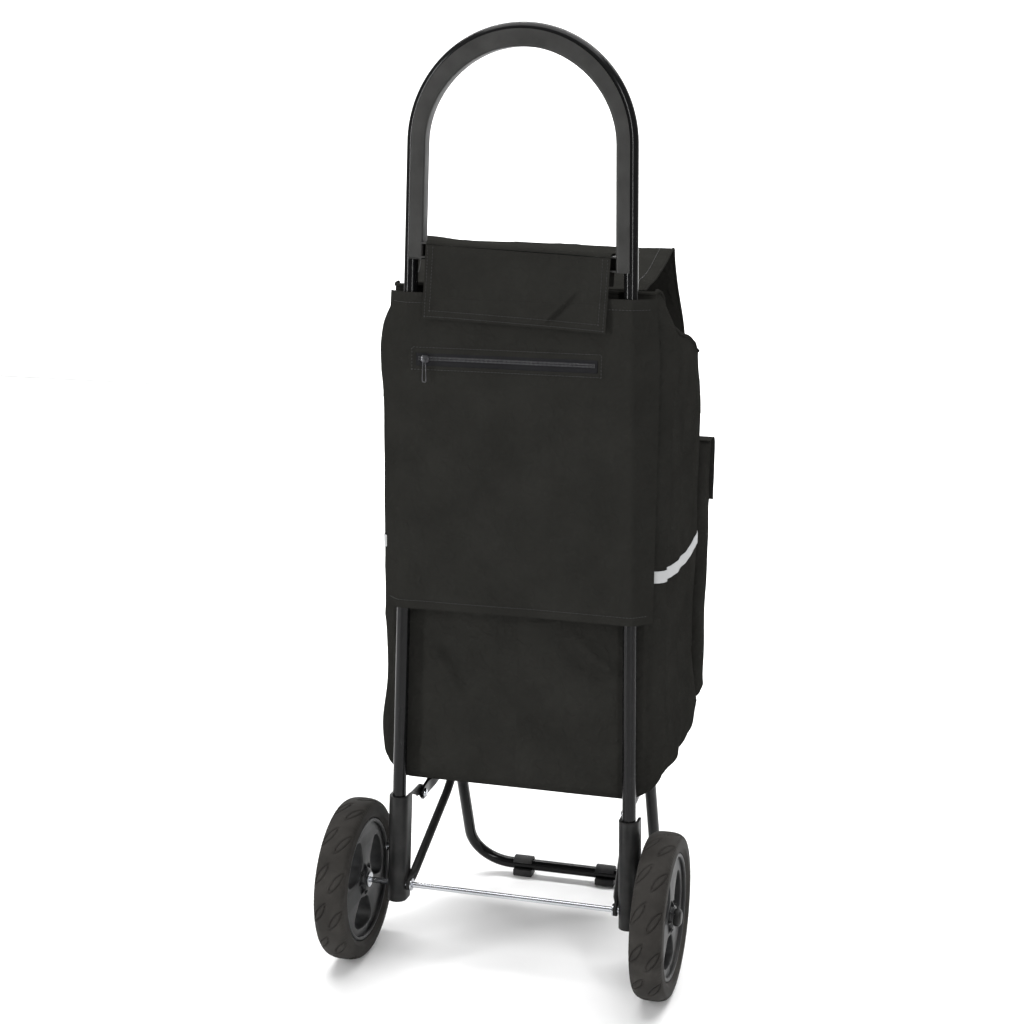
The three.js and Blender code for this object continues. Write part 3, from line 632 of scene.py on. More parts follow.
def cloth_material(name, dark, light, roughness, crumple, threads):
    material, tree, shader, places = start_material(name, Specular_IOR_Level=0.0)
    weave = group_node(tree, "weave", Surface=places.outputs["UV"], Threads_per_metre=threads)
    folds = group_node(tree, "crumple", Place=places.outputs["Object"], Scale=15.0)
    tone = weave.outputs["Tone"]
    tree.links.new(mix_colour(tree, tone, dark, light), shader.inputs["Base Color"])
    rough = range_node(tree, tone, 0.0, 1.0, roughness - 0.05, roughness + 0.06)
    tree.links.new(rough, shader.inputs["Roughness"])
    normal = bump_node(tree, folds.outputs["Height"], crumple, 4.0)
    normal = bump_node(tree, weave.outputs["Height"], 0.35, 0.12, normal)
    tree.links.new(normal, shader.inputs["Normal"])
    return material


def grained_material(name, colour, roughness, grain, scale, dust, specular, metallic):
    material, tree, shader, places = start_material(
        name, Specular_IOR_Level=specular, Metallic=metallic
    )
    pebbles = group_node(tree, "grain", Place=places.outputs["Object"], Scale=scale)
    patches = pebbles.outputs["Patches"]
    lighter = tuple(min(1.0, c * 1.35 + 0.004) for c in colour)
    tone = mix_colour(tree, patches, colour, lighter)
    if dust:
        mask = group_node(tree, "dust", Place=places.outputs["Object"], Top=0.3, Amount=dust)
        tone = mix_colour(tree, mask.outputs["Mask"], tone, DUST_COLOUR)
    tree.links.new(tone, shader.inputs["Base Color"])
    rough = range_node(tree, patches, 0.0, 1.0, max(0.02, roughness - 0.04), roughness + 0.05)
    tree.links.new(rough, shader.inputs["Roughness"])
    if grain:
        tree.links.new(bump_node(tree, pebbles.outputs["Height"], grain, 0.3), shader.inputs["Normal"])
    return material


# Name, colour or the setting that holds it, roughness, grain, grain scale, dust, specular, metallic
GRAINED = {
    "gloss tube": ("Gloss black tube", "tube_colour", 0.16, 0.0, 60.0, 0.0, 0.18, 0.0),
    "satin steel": ("Satin black steel", (0.007, 0.0071, 0.0072), 0.42, 0.1, 1400.0, 0.06, 0.16, 0.0),
    "insert": ("Grey moulded insert", "insert_colour", 0.5, 0.12, 1500.0, 0.0, 0.28, 0.0),
    "bright": ("Bright plated steel", (0.42, 0.43, 0.45), 0.2, 0.0, 300.0, 0.0, 0.5, 1.0),
    "tyre": ("Foam tyre", "tyre_colour", 0.75, 0.3, 700.0, 0.06, 0.12, 0.0),
    "rim": ("Black wheel plastic", (0.008, 0.0084, 0.009), 0.42, 0.08, 1200.0, 0.06, 0.2, 0.0),
    "pad": ("Soft black plastic", (0.011, 0.011, 0.012), 0.6, 0.15, 1000.0, 0.08, 0.18, 0.0),
    "board": ("Grey base board", (0.05, 0.05, 0.055), 0.6, 0.2, 500.0, 0.0, 0.5, 0.0),
    "zip teeth": ("Zip coil", (0.045, 0.045, 0.048), 0.35, 0.0, 900.0, 0.0, 0.5, 0.0),
    "zip metal": ("Zip slider", (0.06, 0.06, 0.064), 0.3, 0.0, 600.0, 0.0, 0.5, 0.8),
    "thread": ("Black thread", (0.012, 0.012, 0.013), 0.6, 0.0, 900.0, 0.0, 0.5, 0.0),
    "floor": ("Pale floor", "floor_colour", 0.6, 0.0, 20.0, 0.0, 0.5, 0.0),
}
# Name, dark threads, light threads or how much lighter they are, roughness, crumple, threads per metre
CLOTHS = {
    "cloth": ("Black bag cloth", "cloth_colour", 1.3, 0.75, 0.9, 1500.0),
    "panel": ("Black panel cloth", "cloth_colour", 1.25, 0.7, 0.6, 1500.0),
    "zip tape": ("Black zip tape", (0.012, 0.012, 0.013), (0.017, 0.017, 0.018), 0.6, 0.0, 2600.0),
    "tape": ("Silver reflective tape", "strip_colour", 1.08, 0.4, 0.12, 900.0),
}


def build_material(kind):
    name, colour, *looks = GRAINED[kind] if kind in GRAINED else CLOTHS[kind]
    if isinstance(colour, str):
        colour = tuple(getattr(bpy.context.scene.trolley, colour))
    if kind in GRAINED:
        return grained_material(name, colour, *looks)
    light = looks.pop(0)
    if isinstance(light, float):
        light = tuple(min(1.0, c * light) for c in colour)
    return cloth_material(name, colour, light, *looks)


def material_of(kind):
    if kind not in MATERIALS:
        MATERIALS[kind] = build_material(kind)
    return MATERIALS[kind]


def paint(piece, kind):
    piece.data.materials.clear()
    piece.data.materials.append(material_of(kind))
    return piece


# ---- Geometry Nodes ----
def geometry_tree(name, inputs):
    tree = bpy.data.node_groups.new(name, "GeometryNodeTree")
    socket(tree, "Geometry", "NodeSocketGeometry", "INPUT")
    for label, kind, default in inputs:
        socket(tree, label, kind, "INPUT", default)
    socket(tree, "Geometry", "NodeSocketGeometry", "OUTPUT")
    return tree, tree.nodes.new("NodeGroupInput"), tree.nodes.new("NodeGroupOutput")


def link(tree, output, target):
    tree.links.new(output, target)


def end_tree(tree, given, made, instances, merge=None):
    """Realizes the instances, merges them where asked, and sets the material."""
    realize = tree.nodes.new("GeometryNodeRealizeInstances")
    link(tree, instances, realize.inputs[0])
    result = realize.outputs[0]
    if merge:
        weld = tree.nodes.new("GeometryNodeMergeByDistance")
        weld.inputs["Distance"].default_value = merge
        link(tree, result, weld.inputs[0])
        result = weld.outputs[0]
    finish = tree.nodes.new("GeometryNodeSetMaterial")
    link(tree, result, finish.inputs["Geometry"])
    link(tree, given.outputs["Material"], finish.inputs["Material"])
    link(tree, finish.outputs[0], made.inputs[0])
    return tree


def beads_along(tree, given, size, rotation=None):
    """Small beads at even spaces along every line of the given mesh."""
    curve = tree.nodes.new("GeometryNodeMeshToCurve")
    link(tree, given.outputs["Geometry"], curve.inputs["Mesh"])
    spaced = tree.nodes.new("GeometryNodeResampleCurve")
    spaced.mode = "LENGTH"
    link(tree, curve.outputs[0], spaced.inputs["Curve"])
    link(tree, given.outputs["Pitch"], spaced.inputs["Length"])
    bead = tree.nodes.new("GeometryNodeMeshUVSphere")
    for label, value in (("Segments", 6), ("Rings", 4), ("Radius", 1.0)):
        bead.inputs[label].default_value = value
    place = tree.nodes.new("GeometryNodeInstanceOnPoints")
    link(tree, spaced.outputs[0], place.inputs["Points"])
    link(tree, bead.outputs["Mesh"], place.inputs["Instance"])
    link(tree, size, place.inputs["Scale"])
    if rotation is not None:
        link(tree, rotation, place.inputs["Rotation"])
    return place.outputs[0]


def build_stitch_tree():
    """Short rounded stitches laid end to end, with a gap, along every line of the given mesh."""
    tree, given, made = geometry_tree(
        "Stitches",
        [
            ("Pitch", "NodeSocketFloat", 0.0034),
            ("Stitch length", "NodeSocketFloat", 0.0024),
            ("Thread radius", "NodeSocketFloat", 0.0003),
            ("Material", "NodeSocketMaterial", None),
        ],
    )
    along = tree.nodes.new("GeometryNodeInputTangent")
    aim = tree.nodes.new("FunctionNodeAlignRotationToVector")
    aim.axis = "Z"
    link(tree, along.outputs[0], aim.inputs["Vector"])
    size = tree.nodes.new("ShaderNodeCombineXYZ")
    half = math_node(tree, "MULTIPLY", given.outputs["Stitch length"], 0.5)
    link(tree, given.outputs["Thread radius"], size.inputs[0])
    link(tree, given.outputs["Thread radius"], size.inputs[1])
    link(tree, half, size.inputs[2])
    stitches = beads_along(tree, given, size.outputs[0], aim.outputs[0])
    return end_tree(tree, given, made, stitches)


def build_ring_tree():
    """Copies of one mesh, evenly turned about an axis along X through a centre."""
    tree, given, made = geometry_tree(
        "Ring of parts",
        [
            ("Count", "NodeSocketInt", 8),
            ("Centre", "NodeSocketVector", None),
            ("Material", "NodeSocketMaterial", None),
        ],
    )
    line = tree.nodes.new("GeometryNodeMeshLine")
    line.inputs["Offset"].default_value = (0, 0, 0)
    link(tree, given.outputs["Count"], line.inputs["Count"])
    link(tree, given.outputs["Centre"], line.inputs["Start Location"])
    index = tree.nodes.new("GeometryNodeInputIndex")
    step = math_node(tree, "DIVIDE", 2 * math.pi, given.outputs["Count"])
    angle = math_node(tree, "MULTIPLY", index.outputs[0], step)
    turn = tree.nodes.new("ShaderNodeCombineXYZ")
    link(tree, angle, turn.inputs[0])
    rotation = tree.nodes.new("FunctionNodeEulerToRotation")
    link(tree, turn.outputs[0], rotation.inputs[0])
    place = tree.nodes.new("GeometryNodeInstanceOnPoints")
    link(tree, line.outputs["Mesh"], place.inputs["Points"])
    link(tree, given.outputs["Geometry"], place.inputs["Instance"])
    link(tree, rotation.outputs[0], place.inputs["Rotation"])
    return end_tree(tree, given, made, place.outputs[0], 1e-5)


def build_row_tree():
    """Copies of one mesh at every point along the given line."""
    tree, given, made = geometry_tree(
        "Row of teeth",
        [
            ("Pitch", "NodeSocketFloat", 0.0015),
            ("Size", "NodeSocketVector", None),
            ("Material", "NodeSocketMaterial", None),
        ],
    )
    teeth = beads_along(tree, given, given.outputs["Size"])
    return end_tree(tree, given, made, teeth)


TREE_BUILDERS = {"stitches": build_stitch_tree, "ring": build_ring_tree, "row": build_row_tree}
TREES = {}


def grow(piece, kind, material, **values):
    """Runs one of the node trees on the piece and keeps the result as a plain mesh."""
    if kind not in TREES:
        TREES[kind] = TREE_BUILDERS[kind]()
    tree = TREES[kind]
    modifier = piece.modifiers.new(tree.name, "NODES")
    modifier.node_group = tree
    inputs = [item for item in tree.interface.items_tree if item.in_out == "INPUT"]
    names = {item.name: item.identifier for item in inputs}
    for label, value in values.items():
        modifier[names[label.replace("_", " ")]] = value
    modifier[names["Material"]] = material_of(material)
    return smooth_all(freeze(piece))


def stitch_lines(name, lines, body, slot, pitch=3.4, length=2.4, radius=0.32):
    """Stitches along lines of points in metres."""
    piece = wire_piece(name, lines)
    grow(
        piece,
        "stitches",
        "thread",
        Pitch=pitch / MM,
        Stitch_length=length / MM,
        Thread_radius=radius / MM,
    )
    return finish_piece(piece, body, slot)


# ---- Handle frame ----
def arch_line(offset=0.0, steps=96, lowest=9.0):
    """The arch and both legs, moved inward by offset, as (across, up) from left foot to right."""
    sweep = math.pi - 2 * LEG_FLARE
    angle = math.pi - LEG_FLARE - sweep * np.linspace(0, 1, steps + 1)
    radius = ARCH_RADIUS - offset
    arch = np.stack([radius * np.cos(angle), ARCH_HEIGHT + radius * np.sin(angle)], -1)
    levels = np.linspace(lowest, ARCH_HEIGHT + radius * math.sin(LEG_FLARE), 40)[:-1]
    across = leg_spread(levels) - offset / math.cos(LEG_FLARE)
    left = np.stack([-across, levels], -1)
    right = np.stack([across, levels], -1)[::-1]
    return np.concatenate([left, arch, right])


def make_frame_tube(settings):
    line = arch_line()
    points = np.stack([line[:, 0], np.zeros(len(line)), line[:, 1]], -1)
    radius = settings.tube_diameter / 2
    tube = tube_piece("handle_tube", row(points), radius, radius, (0, 1, 0), sides=48)
    finish_piece(paint(sharpen(tube, 60), "gloss tube"), "root", "gloss_black_tube", "frame_tube")


def insert_section(depth):
    """The insert's trough that hugs the tube: (inward of the tube's centre line, forward)."""
    half, corner, hug_radius = 9.0, 3.0, 7.35
    near = [(-0.2, half), (depth - corner, half)]
    for t in np.linspace(0.2, math.pi / 2, 6):
        near.append((depth - corner + corner * math.sin(t), half - corner + corner * math.cos(t)))
    far = [(u, -v) for u, v in reversed(near)]
    hug = [(hug_radius * math.sin(t), -hug_radius * math.cos(t)) for t in np.linspace(0, math.pi, 15)]
    return np.array(near + far + hug)


def make_grip_insert():
    lowest = CROSSBAR_HEIGHT - 7.5
    tilt = math.tan(CROSSBAR_TILT)
    line = arch_line(0.0, 72, lowest)
    count = len(line)
    tangent = np.gradient(line, axis=0)
    tangent /= np.linalg.norm(tangent, axis=1)[:, None]
    inward = np.stack([tangent[:, 1], -tangent[:, 0]], -1)
    rise = smooth_step(line[:, 1], ARCH_HEIGHT, ARCH_HEIGHT + 100)
    points = []
    for k in range(count):
        section = insert_section(13.6 + 2.7 * rise[k])
        flat = line[k] + section[:, :1] * inward[k]
        points.append(np.stack([flat[:, 0], section[:, 1], flat[:, 1]], -1))
    points = np.array(points)
    for end in (0, -1):
        points[end, :, 2] -= points[end, :, 0] * tilt
    lining = grid_piece("grip_lining", row(points), wrap_columns=True, caps=True)
    finish_piece(paint(sharpen(lining, 40), "insert"), "root", "insert_grey", "grip_insert")

    half, wall, depth = 7.5, 1.6, 9.0
    channel = rounded(
        [
            (-depth, -half),
            (depth, -half),
            (depth, half),
            (-depth, half),
            (-depth, half - wall),
            (depth - wall, half - wall),
            (depth - wall, -half + wall),
            (-depth, -half + wall),
        ],
        0.7,
    )
    reach = leg_spread(CROSSBAR_HEIGHT) - 12.6
    across = np.linspace(-reach, reach, 24)
    section = np.array(channel)
    points = np.stack(
        [
            np.repeat(across[:, None], len(section), 1),
            np.repeat(section[None, :, 0], len(across), 0),
            CROSSBAR_HEIGHT - across[:, None] * tilt + section[None, :, 1],
        ],
        -1,
    )
    bar = grid_piece("crossbar", row(points), wrap_columns=True, caps=True)
    finish_piece(paint(sharpen(bar, 40), "insert"), "root", "insert_grey")


def make_brackets():
    for side in ("left", "right"):
        piece = node_copy(f"leg_bracket_{side}", f"bracket_{side}", 0.9, 40, 3)
        finish_piece(paint(piece, "satin steel"), "root", "satin_black_steel", f"bracket_{side}")


# ---- Foot, struts and pads ----
def bent_path(corners, radii, spacing=3.0):
    """Straight runs with an arc at each inner corner, as closely spaced points."""
    corners = [np.array(c, float) for c in corners]
    made = [corners[0]]
    for k in range(1, len(corners) - 1):
        before = corners[k] - corners[k - 1]
        after = corners[k + 1] - corners[k]
        before, after = before / np.linalg.norm(before), after / np.linalg.norm(after)
        turn = math.acos(np.clip(before @ after, -1, 1))
        setback = radii[k - 1] * math.tan(turn / 2)
        inward = after - before * (after @ before)
        inward /= np.linalg.norm(inward)
        start = corners[k] - before * setback
        for angle in np.linspace(0, turn, 14):
            swing = before * math.sin(angle) + inward * (1 - math.cos(angle))
            made.append(start + radii[k - 1] * swing)
    made.append(corners[-1])
    dense = [made[0]]
    for a, b in zip(made[:-1], made[1:]):
        steps = max(1, int(np.linalg.norm(b - a) / spacing))
        dense.extend(a + (b - a) * k / steps for k in range(1, steps + 1))
    return np.array(dense)


def flattened_ends(path, round_half, flat_half, flat_reach, eye_half):
    """Half sizes along a round rod whose ends are pressed flat and rounded off."""
    run = run_length(path)
    a, b = np.full(len(path), round_half), np.full(len(path), round_half)
    power = np.full(len(path), 2.0)
    for distance in (run, run[-1] - run):
        flat = 1 - smooth_step(distance, flat_reach * 0.75, flat_reach * 1.5)
        a = a + (flat_half - a) * flat
        b = b + (eye_half - b) * flat
        power = power + 3.0 * flat
        tip = np.clip(distance / eye_half, 0, 1)
        b = b * np.sqrt(np.clip(1 - (1 - tip) ** 2, 0.02, 1))
    return a, b, power


def make_foot():
    ear = centre_mm("foot_rivet_right")
    low, high = box_mm("foot_tube")
    spread = (high[0] - low[0]) / 2 - FOOT_TUBE_RADIUS
    joint = np.array([ear[1] - AXLE[1], ear[2]])
    run = np.array(FOOT_BEND) - joint
    run /= np.linalg.norm(run)
    half = [joint - run * FOOT_EYE, FOOT_BEND, FOOT_TOE]
    corners = [(-spread, *place) for place in half] + [(spread, *place) for place in half[::-1]]
    path = bent_path(corners, (30.0, 46.0, 46.0, 30.0))
    a, b, power = flattened_ends(path, FOOT_TUBE_RADIUS, PRESSED_HALF, 28.0, FOOT_EYE)
    tube = tube_piece("foot_loop", upright(path), a / MM, b / MM, (1, 0, 0), 36, power)
    finish_piece(paint(sharpen(tube, 50), "gloss tube"), "root", "gloss_black_tube", "foot_tube")


def make_struts():
    for side, sign in (("left", -1), ("right", 1)):
        low, high = box_mm(f"strut_{side}")
        inner = (low[0] if sign > 0 else high[0]) - FRAME_X
        outer = (high[0] if sign > 0 else low[0]) - FRAME_X
        joint = centre_mm(f"strut_rivet_{side}")
        joint_y, joint_z = joint[1] - AXLE[1], joint[2]
        low_x, high_x = outer - sign * 2.2, inner + sign * 2.2
        knee_x = low_x + (high_x - low_x) * 0.75
        path = bent_path(
            [
                (low_x, -FOOT_EYE * 0.85, AXLE[2] - FOOT_EYE * 0.5),
                (low_x, 0, AXLE[2]),
                (knee_x, *STRUT_KNEE),
                (high_x, joint_y, joint_z),
                (high_x, joint_y + 4.0, joint_z + 4.0),
            ],
            (1.0, 40.0, 1.0),
            2.5,
        )
        a, b, power = flattened_ends(path, STRUT_RADIUS, PRESSED_HALF, 16.0, STRUT_EYE)
        strut = tube_piece(f"brace_{side}", upright(path), a / MM, b / MM, (1, 0, 0), 28, power)
        paint(sharpen(strut, 50), "satin steel")
        finish_piece(strut, "root", "satin_black_steel", f"strut_{side}")


def make_foot_pads():
    for side in ("left", "right"):
        piece = node_copy(f"foot_clip_{side}", f"foot_pad_{side}", 0.8, 40, 3)
        finish_piece(paint(piece, "pad"), "root", "pad_plastic", f"foot_pad_{side}")


# ---- Axle, rivets, washers, clips and caps ----
RIVET_SHANK, RIVET_HEAD, RIVET_HEIGHT = 2.5, 5.0, 2.4


def dome_profile(length, both):
    """A rivet's outline as (along, radius), with a domed head on one end or on both."""
    half = length / 2
    arc = [
        (half + RIVET_HEIGHT * math.sin(t), RIVET_HEAD * math.cos(t))
        for t in np.linspace(0.15, math.pi / 2 - 0.05, 7)
    ]
    near = [(half, RIVET_SHANK), (half, RIVET_HEAD)] + arc
    top = [(half + RIVET_HEIGHT, 0.01)]
    if both:
        return near + top + [(-half - RIVET_HEIGHT, 0.01)] + [(-x, r) for x, r in reversed(near)]
    return near + top + [(-half, 0.01), (-half, RIVET_SHANK)]


def ring_profile(half, inner, outer, radius=0.3):
    corners = [(-half, inner), (-half, outer), (half, outer), (half, inner)]
    return rounded(corners, radius)


def bright_piece(name, profile, centre, node, body="root", segments=48, direction=1):
    piece = turned_piece(name, profile, centre, segments, direction)
    return finish_piece(paint(piece, "bright"), body, "bright_steel", node)


def make_fasteners():
    low, high = box_mm("axle")
    rod = ring_profile((high[0] - low[0]) / 2, 0.01, 3, 0.8)
    bright_piece("axle_rod", rod, centre_mm("axle"), "axle", segments=40)
    for side, sign in (("left", -1), ("right", 1)):
        for name, node, outer in (("spacer", "wheel_washer", 8.0), ("clip", "axle_clip", 6.5)):
            low, high = box_mm(f"{node}_{side}")
            ring = ring_profile((high[0] - low[0]) / 2, 3.2, outer)
            bright_piece(f"{name}_{side}", ring, (low + high) / 2, f"{node}_{side}")
        cap = [(-3.5, 3.3), (-3.5, 9), (1.0, 8.8), (3.0, 6.5), (3.5, 0.01), (2.0, 0.01), (2.0, 3.3)]
        place = centre_mm(f"axle_cap_{side}")
        piece = turned_piece(f"end_cap_{side}", rounded(cap, 0.8), place, 48, sign)
        paint(piece, "satin steel")
        finish_piece(piece, "root", "satin_black_steel", f"axle_cap_{side}")
        for kind, both in (("foot_rivet", True), ("strut_rivet", True), ("bracket_rivet", False)):
            node = f"{kind}_{side}"
            low, high = box_mm(node)
            middle = (low + high) / 2
            heads = 2 if both else 1
            if not both:
                middle = middle + np.array([-sign * RIVET_HEIGHT / 2, 0, 0])
            profile = dome_profile(high[0] - low[0] - heads * RIVET_HEIGHT, both)
            bright_piece(f"{node}_head", profile, middle, node, segments=32, direction=sign)


# ---- Wheels ----
TYRE_FLANK = 5
GROOVES = ((0.30, -8.0), (0.50, 8.0))
GROOVE_LEAN, GROOVE_LONG, GROOVE_WIDE = 0.52, 13.5, 3.2
GROOVE_DEPTH, GROOVE_EDGE = 1.6, 0.95
NOTCH_DEPTH, NOTCH_PLACE, NOTCH_WIDE, NOTCHES = 0.8, 15.6, 1.1, 10


def tyre_section():
    """The tyre's closed outline as (across, radius): flank, shoulder and crown, flank, bore."""
    shoulder = TYRE_CROWN - TYRE_SHOULDER
    bend = TYRE_BEAD + TYRE_FLANK
    side = np.linspace(0, 1, 7)[:-1]
    outline = [(-TYRE_HALF + 3 - 3 * t, TYRE_BEAD + TYRE_FLANK * t) for t in side]
    outline += [(-TYRE_HALF, bend + (shoulder - 2 - bend) * t) for t in side]
    for angle in np.linspace(math.pi, 0, 64):
        spread = np.sign(math.cos(angle)) * abs(math.cos(angle)) ** 0.8 * (TYRE_HALF - 0.2)
        outline.append((spread, shoulder + TYRE_SHOULDER * math.sin(angle) ** 0.72))
    outline += [(-x, r) for x, r in reversed(outline[:12])]
    bore = np.linspace(0, 1, 8)[1:-1]
    outline += [(TYRE_HALF - 3 - (2 * TYRE_HALF - 6) * t, TYRE_BEAD) for t in bore]
    return np.array(outline).T


def tyre_pitch():
    """One pitch of the tyre: its whole section over one step of the tread, about the axle."""
    x, r = tyre_section()
    angle = np.linspace(0, 2 * math.pi / WHEEL_PITCHES, PITCH_STEPS + 1)
    arc = angle * TYRE_CROWN
    pitch = arc[-1]
    along, across = np.meshgrid(arc, x, indexing="ij")
    shoulder = TYRE_CROWN - TYRE_SHOULDER
    tread = np.clip((r[None] - (shoulder - 4)) / 4, 0, 1)
    depth = np.zeros_like(along)
    for centre_along, centre_across in GROOVES:
        for wrap in (-1, 0, 1):
            u = along - (centre_along + wrap) * pitch
            v = across - centre_across
            p = u * math.cos(GROOVE_LEAN) - v * math.sin(GROOVE_LEAN)
            q = u * math.sin(GROOVE_LEAN) + v * math.cos(GROOVE_LEAN)
            edge = GROOVE_WIDE * np.clip(1 - (p / GROOVE_LONG) ** 2, 0, 1)
            near = np.abs(np.abs(q) - edge)
            inside = np.clip((GROOVE_LONG + 0.8 - np.abs(p)) / 1.2, 0, 1)
            cut = GROOVE_DEPTH * inside * np.clip(1 - (near / GROOVE_EDGE) ** 2, 0, 1)
            depth = np.maximum(depth, cut)
    teeth = np.abs((along / pitch * NOTCHES) % 1 - 0.5) * 2
    band = np.exp(-(((np.abs(across) - NOTCH_PLACE) / NOTCH_WIDE) ** 2)) * (r[None] > shoulder - 1)
    depth = np.maximum(depth, NOTCH_DEPTH * band * np.clip(teeth * 1.6 - 0.6, 0, 1)) * tread
    radius = r[None] - depth
    turn = angle[:, None]
    return np.stack([across, -radius * np.sin(turn), radius * np.cos(turn)], -1)


def sector_window(inner, outer, middle, half_angle, count=64):
    """A rounded window between two spokes, as (forward, up) points."""
    t = np.linspace(0, 2 * math.pi, count, endpoint=False)
    c, s = np.cos(t), np.sin(t)
    r = (inner + outer) / 2 + (outer - inner) / 2 * np.sign(c) * np.abs(c) ** 0.55
    angle = middle + half_angle * np.sign(s) * np.abs(s) ** 0.55
    return np.stack([r * np.cos(angle), r * np.sin(angle)], -1)


def web_piece(name, centre):
    """The spoked web: a disc with rounded windows, cut as a filled outline with softened edges."""
    curve = bpy.data.curves.new(name, "CURVE")
    curve.dimensions = "2D"
    curve.fill_mode = "BOTH"
    curve.extrude = (WEB_THICKNESS / 2 - WEB_EDGE) / MM
    curve.bevel_depth = WEB_EDGE / MM
    curve.bevel_resolution = 3
    turn = np.linspace(0, 2 * math.pi, 120, endpoint=False)
    outlines = [BARREL_RADIUS * np.stack([np.cos(turn), np.sin(turn)], -1)]
    for k in range(WINDOW_COUNT):
        middle = math.radians(WINDOW_TURN + 360 / WINDOW_COUNT * k)
        outlines.append(sector_window(18.5, 54.5, middle, math.radians(35)))
    for outline in outlines:
        spline = curve.splines.new("POLY")
        spline.points.add(len(outline) - 1)
        spline.use_cyclic_u = True
        for point, (y, z) in zip(spline.points, outline):
            point.co = (y / MM, z / MM, 0, 1)
    holder = add_object(name + "_outline", curve)
    bpy.context.view_layer.update()
    graph = bpy.context.evaluated_depsgraph_get()
    mesh = bpy.data.meshes.new_from_object(holder.evaluated_get(graph))
    bpy.data.objects.remove(holder)
    flat = np.zeros(len(mesh.vertices) * 3)
    mesh.vertices.foreach_get("co", flat)
    stood = flat.reshape(-1, 3)[:, [2, 0, 1]] + centre / MM
    mesh.vertices.foreach_set("co", stood.ravel())
    piece = smooth_all(add_object(name, mesh))
    turn_outward(piece)
    return sharpen(piece, 32)


def rib_piece(name, centre):
    """A thin rib on both faces of the web, from the hub outward, repeated round the axle."""
    half, low, high = 0.6, WEB_THICKNESS / 2, WEB_THICKNESS / 2 + 3.0
    near = [(high, 12.0), (high - 0.6, 14.5), (low, 18.2)]
    both = near + [(-x, r) for x, r in reversed(near)]
    points = np.array([[(x, side * half, r) for x, r in both] for side in (-1, 1)]) / MM
    piece = grid_piece(name, points, wrap_columns=True, caps=True)
    turn_outward(piece)
    grow(piece, "ring", "rim", Count=8, Centre=tuple(centre / MM))
    return sharpen(piece, 30)


def make_wheels():
    lip = [(13.5, BARREL_RADIUS), (14.6, 62.0), (14.2, 64.4)]
    barrel = rounded([(-x, r) for x, r in lip] + lip[::-1], 1.0)
    boss = [(HUB_HALF, 5.8), (HUB_HALF, 11.0), (12, 12.8)]
    hub = rounded([(-x, r) for x, r in boss] + boss[::-1], 1.0)
    bush = ring_profile(HUB_HALF, 3.3, 5.3)
    for side in ("left", "right"):
        body = f"{side}_wheel"
        centre = centre_mm(f"tyre_{side}")
        tyre = grid_piece(f"foam_tyre_{side}", tyre_pitch() / MM, wrap_columns=True)
        grow(tyre, "ring", "tyre", Count=WHEEL_PITCHES, Centre=tuple(centre / MM))
        turn_outward(tyre)
        finish_piece(sharpen(tyre, 50), body, "tyre_foam", f"tyre_{side}")
        piece = paint(turned_piece(f"wheel_barrel_{side}", barrel, centre, 144), "rim")
        finish_piece(piece, body, "rim_plastic", f"rim_{side}")
        finish_piece(paint(web_piece(f"wheel_spokes_{side}", centre), "rim"), body, "rim_plastic")
        piece = paint(turned_piece(f"wheel_hub_{side}", hub, centre, 64), "rim")
        finish_piece(piece, body, "rim_plastic")
        finish_piece(rib_piece(f"wheel_ribs_{side}", centre), body, "rim_plastic")
        bright_piece(f"wheel_bush_{side}", bush, centre, f"hub_bush_{side}", body, 40)


# ---- Bag ----
def perimeter(width, depth, corner, counts):
    """A rounded rectangle from the middle of its back, turning left.

    Gives its points, their outward directions and the distance along it.
    """
    half_w, half_d = width / 2, depth / 2
    outline, outward = [], []
    quarter = np.linspace(0, math.pi / 2, counts[2])
    runs = (
        ((0, -half_d), (-half_w + corner, -half_d), (0, -1), counts[0]),
        ((-half_w, -half_d + corner), (-half_w, half_d - corner), (-1, 0), counts[1]),
        ((-half_w + corner, half_d), (half_w - corner, half_d), (0, 1), counts[0] * 2),
        ((half_w, half_d - corner), (half_w, -half_d + corner), (1, 0), counts[1]),
        ((half_w - corner, -half_d), (0, -half_d), (0, -1), counts[0]),
    )
    turns = (
        ((-half_w + corner, -half_d + corner), -math.pi / 2, -1),
        ((-half_w + corner, half_d - corner), math.pi, -1),
        ((half_w - corner, half_d - corner), math.pi / 2, -1),
        ((half_w - corner, -half_d + corner), 0, -1),
    )
    for k, (start, end, normal, count) in enumerate(runs):
        for t in np.linspace(0, 1, count, endpoint=False):
            outline.append(np.array(start) + (np.array(end) - np.array(start)) * t)
            outward.append(normal)
        if k < 4:
            middle, first, sense = turns[k]
            for t in quarter[:-1]:
                angle = first + sense * t
                direction = np.array([math.cos(angle), math.sin(angle)])
                outline.append(np.array(middle) + corner * direction)
                outward.append(direction)
    outline, outward = np.array(outline), np.array(outward, float)
    return outline, outward, run_length(np.vstack([outline, outline[:1]]))


def seam_half(h):
    """How far each back seam is from the middle at height h."""
    return 138.8 - 5.0 * smooth_step(h, 555, 632)


def bag_side_bulge(forward, h):
    """How far a side panel stands out past the back seam."""
    near_seam = smooth_step(forward, 0, 14)
    near_front = smooth_step(BAG_FRONT - BAG_BACK - forward, 0, 16)
    high = 7.4 + 4.0 * hump(h, 566, 38) - 11.0 * smooth_step(h, 585, 632)
    belly = 4.5 * hump(h, 165, 42)
    return (high + belly) * near_seam * near_front


